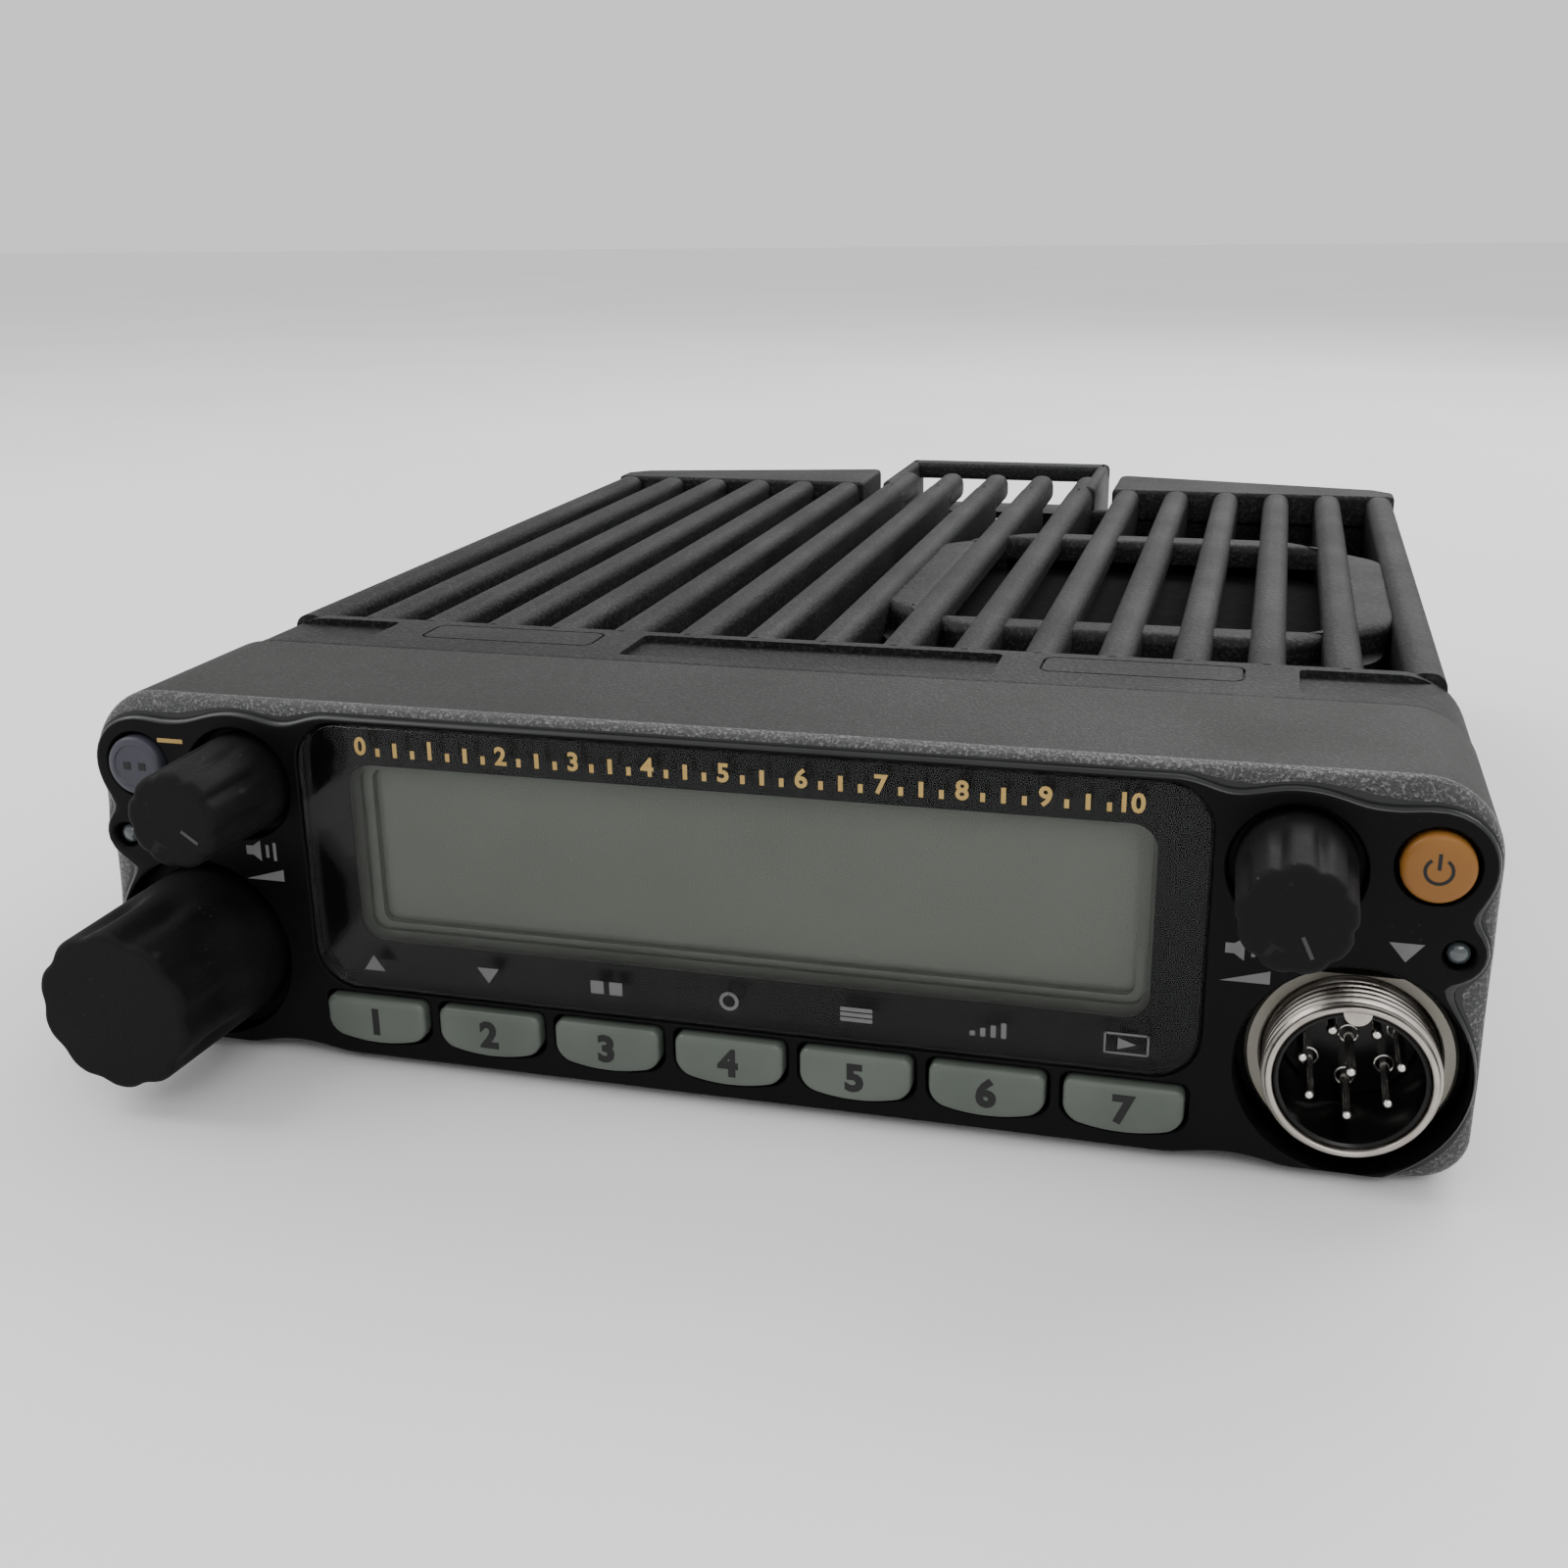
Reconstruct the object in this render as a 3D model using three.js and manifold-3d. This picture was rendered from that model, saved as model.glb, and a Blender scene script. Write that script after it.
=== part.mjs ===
// Mobile amateur-radio transceiver: a control head on a die-cast, fan-cooled chassis.
// Millimetres. X runs to the right, Y runs back from the front panel, Z runs up.
// The whole assembly is then slid along Y so that its origin is at the middle of its footprint.
import * as THREE from "three";
import { mergeVertices } from "three/addons/utils/BufferGeometryUtils.js";
import Module from "manifold-3d";

const wasm = await Module();
wasm.setup();

// ---------------------------------------------------------------- driving dimensions
const bodyWidth = 140;
const bodyHeight = 39.8;
const bodyDepth = 184.5;
const touchGap = 0.3;
const fitGap = 0.15;
const runningGap = 0.35;

// control head
const headDepth = 24.3;
const headFloor = 0.9;
const headWall = 2;
const panelWall = 2.9;
const topCornerRadius = 7.4;
const bottomCornerRadius = 4.5;
const rimDepth = 2;
const rimDrop = 3.6;
const backPlateWall = 0.7;

// wells sunk in the panel round the lower controls; the display takes the width they leave
const dialWell = 10;
const socketWell = 10.3;
const socketAcross = bodyWidth / 2 - socketWell - 0.7;

// display
const lensWidth = 2 * (socketAcross - socketWell - 3.2);
const lensTop = bodyHeight - 1.8;
const lensBottom = 9.1;
const lensThickness = 1.4;
const lensCornerRadius = 4.5;
const lensLedge = 1.8;
const lcdWidth = lensWidth - 6.6;
const lcdHeight = lensTop - lensBottom - 7.3;
const lcdCentreHeight = (lensTop + lensBottom) / 2 + 0.25;
const lcdDepth = 4.6;
const lcdThickness = 1.9;
const holderWall = 1.6;

// keys in a row under the display
const keyCount = 7;
const keyPitch = (lensWidth - 0.28) / keyCount;
const keyWidth = keyPitch - 1.66;
const keyHeight = 4.9;
const keyCentreHeight = 5.75;
const keyProud = 0.9;
const keyFlange = 0.7;
const keyTravel = 0.5;

// round buttons, lamps, knobs and the microphone socket, each pair mirrored about the middle
const roundButton = { across: bodyWidth / 2 - 5.5, height: bodyHeight - 7.7, radius: 3.2, proud: 0.7 };
const lamp = { across: bodyWidth / 2 - 3, height: bodyHeight - 15.8, radius: 1.05, pipe: 0.6 };
const smallKnobAcross = bodyWidth / 2 - 17.2;
const smallKnob = {
  across: smallKnobAcross,
  height: bodyHeight - 9,
  baseRadius: 5.3,
  tipRadius: 5,
  proud: 12,
  well: 5.9,
  wellDepth: 2,
};
const dialKnob = {
  across: bodyWidth / 2 - dialWell - 1,
  height: 11.8,
  baseRadius: 8.8,
  tipRadius: 8.5,
  proud: 16.6,
  well: dialWell,
  wellDepth: 2.4,
};
const micSocket = {
  across: socketAcross,
  height: 11.6,
  radius: 7.9,
  bore: 6.9,
  proud: 2,
  well: socketWell,
  wellDepth: 5.2,
};
const knobFloat = 0.5;
const shaftRadius = 3;
const bushRadius = 3.6;

// what stands behind the front panel
const boardFront = 9.6;
const boardThickness = 1.6;
const matThickness = 4.3;

// chassis
const chassisTop = bodyHeight - 0.4;
const chassisWall = 2.5;
const plateFloor = chassisTop - 18.9;
const plateTop = plateFloor + 3;
const flangeBack = 40.2;
const sideInset = 0.5;
const ribCount = 17;
const ribWidth = 4.6;
const ribPitch = (bodyWidth - 8.96) / (ribCount - 1);
const ribBack = bodyDepth - 29.7;
const centreRibBack = bodyDepth - 14.5;
const centreRibHeight = 5;
const rearPanelWall = 3.2;
const eaveThickness = 5.4;
const eaveCorner = bodyDepth - 22.5;
const eaveInner = bodyDepth - 13.5;
const hoodWall = 2.2;
const hoodBar = { depth: 4, height: 2.3 };
const notchWidth = 3.1;
const coverThickness = 1.5;

// loudspeaker under the right-hand ribs
const speakerBay = {
  across: bodyWidth / 2 - 38,
  along: bodyDepth / 2 - 5.75,
  width: 65,
  length: 64,
  corner: 13,
  top: chassisTop - 2.4,
};
const speakerMouth = { width: 49, length: 50, corner: 4 };
const speakerRadius = 28;
const speakerHeight = 9;

// fan in the hood
const fanSize = 30;
const fanSlack = 1.6;
const fanThickness = 10;
const fanBlades = 7;
const fanHub = 6.5;
const fanFloor = 1.9;
const hoodWidth = fanSize + 2 * (fanSlack + hoodWall);

// rear connectors
const antennaSocket = { across: bodyWidth / 2 - 26.5, height: 14.3, flange: 23.5, barrel: 7.9, reach: 12 };
const powerInlet = { across: bodyWidth / 2 - 7.5, height: 11.5, width: 11, tall: 15, reach: 9 };
const jack = { across: -hoodWidth / 2 - 6.7, height: 12, radius: 4.2, bore: 1.8, reach: 3 };
const dataSocket = { across: 22 - bodyWidth / 2, height: 12, width: 31, tall: 12, reach: 6 };

// what stands on the main board
const powerModule = { across: -33, width: 34, front: 118, back: 138 };
const receiverShield = { across: -29, width: 34, front: 52, back: 88, height: 7 };
const supplyCapacitor = { across: 8, along: 134, radius: 5 };

// the flange's shallow pockets: the middle one's half width, and where the outer ones begin
const pocketMiddle = 21;
const pocketOuter = bodyWidth / 2 - 17.5;
const pocketDepth = 0.8;

// screws
const screwRadius = 1.25;
const screwHead = 2.6;
const bossRadius = 3.2;

const round = 28;
const roundSmall = 14;
const screwSides = 8;

// ---------------------------------------------------------------- finishes
function finish(color, roughness, metalness = 0) {
  return new THREE.MeshStandardMaterial({ color, roughness, metalness });
}

const shellPlastic = finish(0x2b2b2a, 0.6);
const paintedMetal = finish(0x1f2021, 0.5, 0.3);
const darkPlastic = finish(0x141414, 0.5);
const knobRubber = finish(0x1a1a1b, 0.8);
const keyPlastic = finish(0x8e978c, 0.45);
const lensPlastic = finish(0x202221, 0.08);
const lcdGlass = finish(0x6d726c, 0.3);
const orangePlastic = finish(0xb8762e, 0.4);
const greyPlastic = finish(0x5c5d6c, 0.45);
const lampPlastic = finish(0x3c4142, 0.25);
const nickel = finish(0xb5b0a6, 0.3, 1);
const steel = finish(0x9a9a98, 0.35, 1);
const plate = finish(0x8a8c8d, 0.4, 1);
const circuitBoard = finish(0x2c5a35, 0.55);
const siliconeRubber = finish(0x50524f, 0.7);
const paperCone = finish(0x1b1a19, 0.9);
const foam = finish(0x161616, 0.95);

// ---------------------------------------------------------------- solid helpers
function toSolid(geometry) {
  const bare = geometry.index ? geometry.toNonIndexed() : geometry.clone();
  bare.deleteAttribute("normal");
  bare.deleteAttribute("uv");
  const merged = mergeVertices(bare, 1e-4);
  const triVerts = new Uint32Array(merged.index.array);
  const vertProperties = merged.attributes.position.array;
  const made = new wasm.Manifold(new wasm.Mesh({ numProp: 3, vertProperties, triVerts }));
  if (made.volume() > 0) return made;
  for (let i = 0; i < triVerts.length; i += 3) {
    [triVerts[i + 1], triVerts[i + 2]] = [triVerts[i + 2], triVerts[i + 1]];
  }
  return new wasm.Manifold(new wasm.Mesh({ numProp: 3, vertProperties, triVerts }));
}

function toGeometry(solid) {
  const { numProp, numVert, vertProperties, triVerts } = solid.getMesh();
  const position = new Float32Array(numVert * 3);
  for (let i = 0; i < numVert; i++) {
    position.set(vertProperties.subarray(i * numProp, i * numProp + 3), i * 3);
  }
  const geometry = new THREE.BufferGeometry();
  geometry.setAttribute("position", new THREE.BufferAttribute(position, 3));
  geometry.setIndex(new THREE.BufferAttribute(new Uint32Array(triVerts), 1));
  const flat = geometry.toNonIndexed();
  flat.computeVertexNormals();
  return flat;
}

function joined(...solids) {
  return solids.reduce((a, b) => a.add(b));
}

function cutFrom(body, ...cutters) {
  return cutters.reduce((a, b) => a.subtract(b), body);
}

// A block between two corners.
function block(x0, x1, y0, y1, z0, z1) {
  const geometry = new THREE.BoxGeometry(x1 - x0, y1 - y0, z1 - z0);
  geometry.translate((x0 + x1) / 2, (y0 + y1) / 2, (z0 + z1) / 2);
  return toSolid(geometry);
}

// An outline in X and Z, filled from y0 back to y1.
function alongY(shape, y0, y1, segments = 4) {
  const geometry = new THREE.ExtrudeGeometry(shape, {
    depth: y1 - y0,
    bevelEnabled: false,
    curveSegments: segments,
  });
  geometry.rotateX(Math.PI / 2);
  geometry.translate(0, y1, 0);
  return toSolid(geometry);
}

// An outline in X and Y, filled from z0 up to z1.
function alongZ(shape, z0, z1, segments = 4) {
  const geometry = new THREE.ExtrudeGeometry(shape, {
    depth: z1 - z0,
    bevelEnabled: false,
    curveSegments: segments,
  });
  geometry.translate(0, 0, z0);
  return toSolid(geometry);
}

// A solid turned about an axis parallel to Y through (x, z); points are [radius, y].
function turned(points, x = 0, z = 0, segments = round) {
  const profile = points.map(([r, y]) => new THREE.Vector2(r, y));
  const geometry = new THREE.LatheGeometry(profile, segments);
  geometry.translate(x, 0, z);
  return toSolid(geometry);
}

function rodY(radius, y0, y1, x = 0, z = 0, segments = round) {
  return turned([[0, y0], [radius, y0], [radius, y1], [0, y1]], x, z, segments);
}

function rodZ(radius, z0, z1, x, y, segments = roundSmall) {
  const geometry = new THREE.CylinderGeometry(radius, radius, z1 - z0, segments);
  geometry.rotateX(Math.PI / 2);
  geometry.translate(x, y, (z0 + z1) / 2);
  return toSolid(geometry);
}

// A rectangle with its own radius at the upper and the lower corners.
function roundedShape(x0, x1, z0, z1, upper, lower = upper) {
  const shape = new THREE.Shape();
  shape.moveTo(x0 + lower, z0);
  shape.lineTo(x1 - lower, z0);
  shape.absarc(x1 - lower, z0 + lower, lower, -Math.PI / 2, 0, false);
  shape.lineTo(x1, z1 - upper);
  shape.absarc(x1 - upper, z1 - upper, upper, 0, Math.PI / 2, false);
  shape.lineTo(x0 + upper, z1);
  shape.absarc(x0 + upper, z1 - upper, upper, Math.PI / 2, Math.PI, false);
  shape.lineTo(x0, z0 + lower);
  shape.absarc(x0 + lower, z0 + lower, lower, Math.PI, Math.PI * 1.5, false);
  return shape;
}

function centredShape(x, z, width, height, corner) {
  return roundedShape(x - width / 2, x + width / 2, z - height / 2, z + height / 2, corner);
}

// An eight-sided outline: a rectangle with its corners cut off.
function octagonShape(x, y, width, length, cut) {
  const w = width / 2;
  const l = length / 2;
  const shape = new THREE.Shape();
  shape.moveTo(x - w + cut, y - l);
  shape.lineTo(x + w - cut, y - l);
  shape.lineTo(x + w, y - l + cut);
  shape.lineTo(x + w, y + l - cut);
  shape.lineTo(x + w - cut, y + l);
  shape.lineTo(x - w + cut, y + l);
  shape.lineTo(x - w, y + l - cut);
  shape.lineTo(x - w, y - l + cut);
  return shape;
}

function outlineShape(points) {
  return new THREE.Shape(points.map(([x, y]) => new THREE.Vector2(x, y)));
}

// Skin between rings of equal point count, closed at both ends.
function lofted(rings) {
  const count = rings[0].length;
  const position = rings.flat(2);
  const index = [];
  for (let r = 0; r + 1 < rings.length; r++) {
    for (let i = 0; i < count; i++) {
      const a = r * count + i;
      const b = r * count + ((i + 1) % count);
      index.push(a, b, a + count, b, b + count, a + count);
    }
  }
  const last = (rings.length - 1) * count;
  for (let i = 1; i + 1 < count; i++) {
    index.push(0, i + 1, i, last, last + i, last + i + 1);
  }
  const geometry = new THREE.BufferGeometry();
  geometry.setAttribute("position", new THREE.Float32BufferAttribute(position, 3));
  geometry.setIndex(index);
  return toSolid(geometry);
}

function ringAt(shape, y, segments) {
  return shape.extractPoints(segments).shape.map((p) => [p.x, y, p.y]);
}

// ---------------------------------------------------------------- the assembly
const transceiver = new THREE.Group();
const assembly = new THREE.Group();
assembly.position.y = (dialKnob.proud - bodyDepth) / 2;
transceiver.add(assembly);

function addPart(name, solid, material, x = 0, y = 0, z = 0) {
  const mesh = new THREE.Mesh(toGeometry(solid), material);
  mesh.name = name;
  mesh.position.set(x, y, z);
  assembly.add(mesh);
}

const half = bodyWidth / 2;
const sides = { left: -1, right: 1 };

// ---------------------------------------------------------------- control head shell
const headInnerTop = bodyHeight - headWall;
const headInnerHalf = half - headWall;
const keyFirst = (-keyPitch * (keyCount - 1)) / 2;
const keyCentres = Array.from({ length: keyCount }, (_, i) => keyFirst + i * keyPitch);

function headOutline(inset, drop, lift) {
  const upper = Math.max(topCornerRadius - inset, 1);
  const lower = Math.max(bottomCornerRadius - inset, 1);
  return roundedShape(-half + inset, half - inset, headFloor + lift, bodyHeight - drop, upper, lower);
}

// The flat face: the display's arch, a circle round each control, and the band that ties them.
function faceSolid() {
  const archTop = lensTop + 0.4;
  const arch = roundedShape(-lensWidth / 2 - 1.3, lensWidth / 2 + 1.3, headFloor + 1, archTop, 6, 1);
  const band = roundedShape(-half + 3.5, half - 3.5, headFloor + 1, bodyHeight - rimDrop, 4, 3.5);
  let face = joined(alongY(arch, 0, rimDepth + 0.4), alongY(band, 0, rimDepth + 0.4));
  for (const side of Object.values(sides)) {
    const circles = [
      [smallKnob.across, smallKnob.height, smallKnob.well + 1.4],
      [roundButton.across, roundButton.height, roundButton.radius + 1.95],
      [lamp.across, lamp.height, lamp.radius + 1.35],
      [micSocket.across, micSocket.height, micSocket.well + 0.4],
    ];
    for (const [across, height, radius] of circles) {
      face = face.add(rodY(radius, 0, rimDepth + 0.4, side * across, height, roundSmall));
    }
  }
  return face;
}

function keyShape(grow) {
  const w = keyWidth / 2 + grow;
  const top = keyHeight / 2 + grow;
  const shoulder = -keyHeight / 2 + 1.5 - grow;
  const corner = 1.1;
  const shape = new THREE.Shape();
  shape.moveTo(-w, shoulder);
  shape.quadraticCurveTo(0, -keyHeight / 2 - 1.5 - grow, w, shoulder);
  shape.lineTo(w, top - corner);
  shape.absarc(w - corner, top - corner, corner, 0, Math.PI / 2, false);
  shape.lineTo(-w + corner, top);
  shape.absarc(-w + corner, top - corner, corner, Math.PI / 2, Math.PI, false);
  return shape;
}

function movedSolid(solid, x, z) {
  const geometry = toGeometry(solid);
  geometry.translate(x, 0, z);
  return toSolid(geometry);
}

function wellSolids(control, side) {
  const x = side * control.across;
  return {
    boss: rodY(control.well + 1.5, panelWall - 0.1, control.wellDepth + 1.6, x, control.height),
    bowl: rodY(control.well, -1, control.wellDepth, x, control.height),
  };
}

function buildHeadShell() {
  const rimSteps = 3;
  const rings = [];
  for (let i = 0; i <= rimSteps; i++) {
    const turn = (i / rimSteps) * (Math.PI / 2);
    const inward = 1 - Math.sin(turn);
    const y = 0.3 + (rimDepth - 0.3) * (1 - Math.cos(turn));
    const outline = headOutline(1.2 * inward, rimDrop * inward, 1 * inward);
    rings.push(ringAt(outline, y, 5));
  }
  rings.push(ringAt(headOutline(0, 0, 0), headDepth, 5));
  const inner = roundedShape(
    -headInnerHalf,
    headInnerHalf,
    headFloor + headWall,
    headInnerTop,
    topCornerRadius - headWall,
    bottomCornerRadius - headWall,
  );
  let shell = joined(lofted(rings), faceSolid()).subtract(alongY(inner, panelWall, headDepth + 1));
  const bowls = [];
  for (const [control, side] of [
    [smallKnob, sides.left],
    [smallKnob, sides.right],
    [dialKnob, sides.left],
    [micSocket, sides.right],
  ]) {
    const { boss, bowl } = wellSolids(control, side);
    shell = shell.add(boss.intersect(alongY(headOutline(0.5, 0.5, 0.5), 0, headDepth)));
    bowls.push(bowl);
    const x = side * control.across;
    const hole = control === micSocket ? micSocket.radius + touchGap : bushRadius + touchGap;
    bowls.push(rodY(hole, -1, boardFront, x, control.height));
  }
  shell = cutFrom(shell, ...bowls);

  const lens = roundedShape(-lensWidth / 2, lensWidth / 2, lensBottom, lensTop, lensCornerRadius);
  const pocket = roundedShape(
    -lensWidth / 2 - fitGap,
    lensWidth / 2 + fitGap,
    lensBottom - fitGap,
    lensTop + fitGap,
    lensCornerRadius,
  );
  const window = roundedShape(
    -lensWidth / 2 + lensLedge,
    lensWidth / 2 - lensLedge,
    lensBottom + lensLedge,
    headInnerTop - 0.6,
    lensCornerRadius - lensLedge,
  );
  shell = cutFrom(shell, alongY(pocket, -1, lensThickness + touchGap), alongY(window, -1, panelWall + 1));
  addPart("display_lens", alongY(lens, 0, lensThickness), lensPlastic);

  const keyHole = alongY(keyShape(runningGap), -1, panelWall + 1, 3);
  for (const x of keyCentres) {
    shell = shell.subtract(movedSolid(keyHole, x, keyCentreHeight));
  }
  for (const side of Object.values(sides)) {
    const buttonHole = roundButton.radius + runningGap;
    const lampHole = lamp.radius + touchGap;
    shell = shell.subtract(rodY(buttonHole, -1, panelWall + 1, side * roundButton.across, roundButton.height));
    shell = shell.subtract(rodY(lampHole, -1, panelWall + 1, side * lamp.across, lamp.height, roundSmall));
  }
  return shell;
}

addPart("head_shell", buildHeadShell(), shellPlastic);

// ---------------------------------------------------------------- display module
const lcdFloor = lcdCentreHeight - lcdHeight / 2;
const lcdRoof = lcdCentreHeight + lcdHeight / 2;
const boardBackFace = boardFront + boardThickness;

function centredBlock(x, z, width, height, y0, y1) {
  return block(x - width / 2, x + width / 2, y0, y1, z - height / 2, z + height / 2);
}

addPart(
  "lcd_panel",
  centredBlock(0, lcdCentreHeight, lcdWidth, lcdHeight, lcdDepth, lcdDepth + lcdThickness),
  lcdGlass,
);
const holderBack = boardFront - touchGap;
const holderPocketWidth = lcdWidth + 2 * touchGap;
const holderPocketHeight = lcdHeight + 2 * touchGap;
const holderBody = centredBlock(
  0,
  lcdCentreHeight,
  holderPocketWidth + 2 * holderWall,
  holderPocketHeight + 2 * holderWall,
  panelWall + touchGap,
  holderBack,
);
const holderPocket = centredBlock(
  0,
  lcdCentreHeight,
  holderPocketWidth,
  holderPocketHeight,
  panelWall,
  lcdDepth + lcdThickness + touchGap,
);
addPart("lcd_holder", holderBody.subtract(holderPocket), darkPlastic);

// ---------------------------------------------------------------- keys, buttons and lamps
const plugShape = roundedShape(
  -headInnerHalf + touchGap,
  headInnerHalf - touchGap,
  headFloor + headWall + touchGap,
  headInnerTop - touchGap,
  topCornerRadius - headWall,
  bottomCornerRadius - headWall,
);
const flangeFront = panelWall + touchGap;
const flangeThickness = 0.9;
const keyBack = flangeFront + flangeThickness;

const keyFloor = headFloor + headWall + touchGap - keyCentreHeight;
const keyFlangeSolid = alongY(keyShape(keyFlange), flangeFront, keyBack, 3).intersect(
  block(-keyPitch, keyPitch, flangeFront, keyBack, keyFloor, keyHeight),
);
const keySolid = alongY(keyShape(0), -keyProud, flangeFront + 0.1, 3).add(keyFlangeSolid);
keyCentres.forEach((x, i) => {
  addPart("key_" + (i + 1), keySolid, keyPlastic, x, 0, keyCentreHeight);
});

const matFront = keyBack + keyTravel + touchGap;
const matTop = lcdFloor - holderWall - 2 * touchGap;
addPart(
  "key_mat",
  centredBlock(
    0,
    (headFloor + headWall + touchGap + matTop) / 2,
    keyPitch * keyCount,
    matTop - headFloor - headWall - touchGap,
    matFront,
    boardFront - touchGap,
  ),
  siliconeRubber,
);

// A round button: a tab behind the panel keeps it in, shortest towards the side wall.
function buildRoundButton(side) {
  const r = roundButton.radius;
  const nose = turned([
    [0, -roundButton.proud],
    [r - 0.6, -roundButton.proud],
    [r, -roundButton.proud + 0.4],
    [r, flangeFront - touchGap - 0.1],
    [0, flangeFront - touchGap - 0.1],
  ]);
  const xs = [side * (r - 0.7), -side * (r + 0.8)].sort((a, b) => a - b);
  const stem = rodY(r - 0.8, 0, flangeFront + 0.1);
  return joined(nose, stem, block(xs[0], xs[1], flangeFront, keyBack, -2, 2));
}

for (const [name, side, material] of [
  ["memory_button", sides.left, greyPlastic],
  ["power_button", sides.right, orangePlastic],
]) {
  addPart(name, buildRoundButton(side), material, side * roundButton.across, 0, roundButton.height);
}

const switchSolid = joined(
  block(-3, 3, boardFront - 3.2, boardFront - touchGap, -3, 3),
  rodY(1.7, matFront, boardFront - 1, 0, 0, roundSmall),
);
addPart("memory_switch", switchSolid, darkPlastic, -roundButton.across + 0.8, 0, roundButton.height - 1);
addPart("power_switch", switchSolid, darkPlastic, roundButton.across - 0.8, 0, roundButton.height - 1);

// A lamp's window in the panel, and the light pipe behind it that reaches the board.
const lampSolid = turned(
  [
    [0, 0.1],
    [lamp.radius * 0.6, 0.35],
    [lamp.radius, 0.9],
    [lamp.radius, panelWall - 0.1],
    [lamp.pipe, panelWall - 0.1],
    [lamp.pipe, boardFront - touchGap],
    [0, boardFront - touchGap],
  ],
  0,
  0,
  roundSmall,
);
addPart("main_receive_lamp", lampSolid, lampPlastic, -lamp.across, 0, lamp.height);
addPart("sub_receive_lamp", lampSolid, lampPlastic, lamp.across, 0, lamp.height);

// ---------------------------------------------------------------- knobs and what they turn
// A fluted grip: the radius dips between lobes and the flutes fade into the base ring.
function flutedKnob(knob, lobes, dip, steps) {
  const around = lobes * steps;
  const stations = [
    [knob.wellDepth - knobFloat, knob.baseRadius, 0],
    [-0.4, knob.baseRadius, 0.1],
    [-1.6, knob.baseRadius - 0.25, 1],
    [-knob.proud + 0.9, knob.tipRadius + 0.15, 1],
    [-knob.proud + 0.25, knob.tipRadius - 0.25, 0.8],
    [-knob.proud, knob.tipRadius - 0.9, 0.7],
  ];
  const rings = stations.map(([y, radius, amount]) => {
    const ring = [];
    for (let i = 0; i < around; i++) {
      const angle = (2 * Math.PI * i) / around;
      const wave = 0.5 - 0.5 * Math.cos(lobes * angle);
      const r = radius - dip * amount * wave;
      ring.push([r * Math.sin(angle), y, r * Math.cos(angle)]);
    }
    return ring;
  });
  const shaft = rodY(shaftRadius, -knob.proud + 4, boardFront - 4.6, 0, 0, roundSmall);
  return lofted(rings).add(shaft);
}

addPart(
  "main_dial",
  flutedKnob(dialKnob, 8, 0.9, 5),
  knobRubber,
  -dialKnob.across,
  0,
  dialKnob.height,
);
const smallKnobSolid = flutedKnob(smallKnob, 7, 0.6, 5);
addPart("main_volume_knob", smallKnobSolid, knobRubber, -smallKnob.across, 0, smallKnob.height);
addPart("sub_volume_knob", smallKnobSolid, knobRubber, smallKnob.across, 0, smallKnob.height);

// The bush stands in the panel's hole, and the shaft turns in its bore.
function controlBody(width, knob) {
  const bodyFront = knob.wellDepth + 1.6 + touchGap;
  const bodyBack = boardFront - touchGap;
  const body = block(-width / 2, width / 2, bodyFront, bodyBack, -width / 2, width / 2);
  const bush = rodY(bushRadius, knob.wellDepth + 0.2, bodyFront + 0.5, 0, 0, roundSmall);
  const bore = rodY(shaftRadius + 0.3, -1, boardFront - 4.3, 0, 0, roundSmall);
  return joined(body, bush).subtract(bore);
}

addPart("dial_encoder", controlBody(12, dialKnob), steel, -dialKnob.across, 0, dialKnob.height);
addPart("main_volume_control", controlBody(9.5, smallKnob), steel, -smallKnob.across, 0, smallKnob.height);
addPart("sub_volume_control", controlBody(9.5, smallKnob), steel, smallKnob.across, 0, smallKnob.height);

// ---------------------------------------------------------------- microphone socket
const socketBack = boardBackFace + 3;
const wellBack = micSocket.wellDepth + 1.6;
const socketTube = turned(
  [
    [micSocket.bore, -micSocket.proud],
    [micSocket.radius, -micSocket.proud],
    [micSocket.radius, wellBack + touchGap],
    [micSocket.radius + 0.7, wellBack + touchGap],
    [micSocket.radius + 0.7, wellBack + touchGap + 2],
    [micSocket.radius, wellBack + touchGap + 2],
    [micSocket.radius, socketBack],
    [micSocket.bore, socketBack],
    [micSocket.bore, -micSocket.proud],
  ],
);
addPart("mic_socket_shell", socketTube, nickel, micSocket.across, 0, micSocket.height);

const nutFront = micSocket.wellDepth - touchGap - 1.5;
const socketNut = turned([
  [micSocket.radius + fitGap, nutFront],
  [micSocket.well - 0.8, nutFront],
  [micSocket.well - 0.8, nutFront + 1.5],
  [micSocket.radius + fitGap, nutFront + 1.5],
  [micSocket.radius + fitGap, nutFront],
]);
addPart("mic_socket_nut", socketNut, nickel, micSocket.across, 0, micSocket.height);

const pinTip = 0;
const insulatorFace = 8.3;
let socketInsert = rodY(micSocket.bore - fitGap, insulatorFace, socketBack - 1);
const ringPins = 7;
for (let i = 0; i <= ringPins; i++) {
  const reach = i < ringPins ? 4.45 : 0;
  const angle = (2 * Math.PI * i) / ringPins;
  const x = reach * Math.sin(angle);
  const z = -reach * Math.cos(angle);
  socketInsert = socketInsert.add(rodY(0.55, pinTip, insulatorFace + 1, x, z, 8));
}
addPart("mic_socket_insert", socketInsert, darkPlastic, micSocket.across, 0, micSocket.height);

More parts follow.
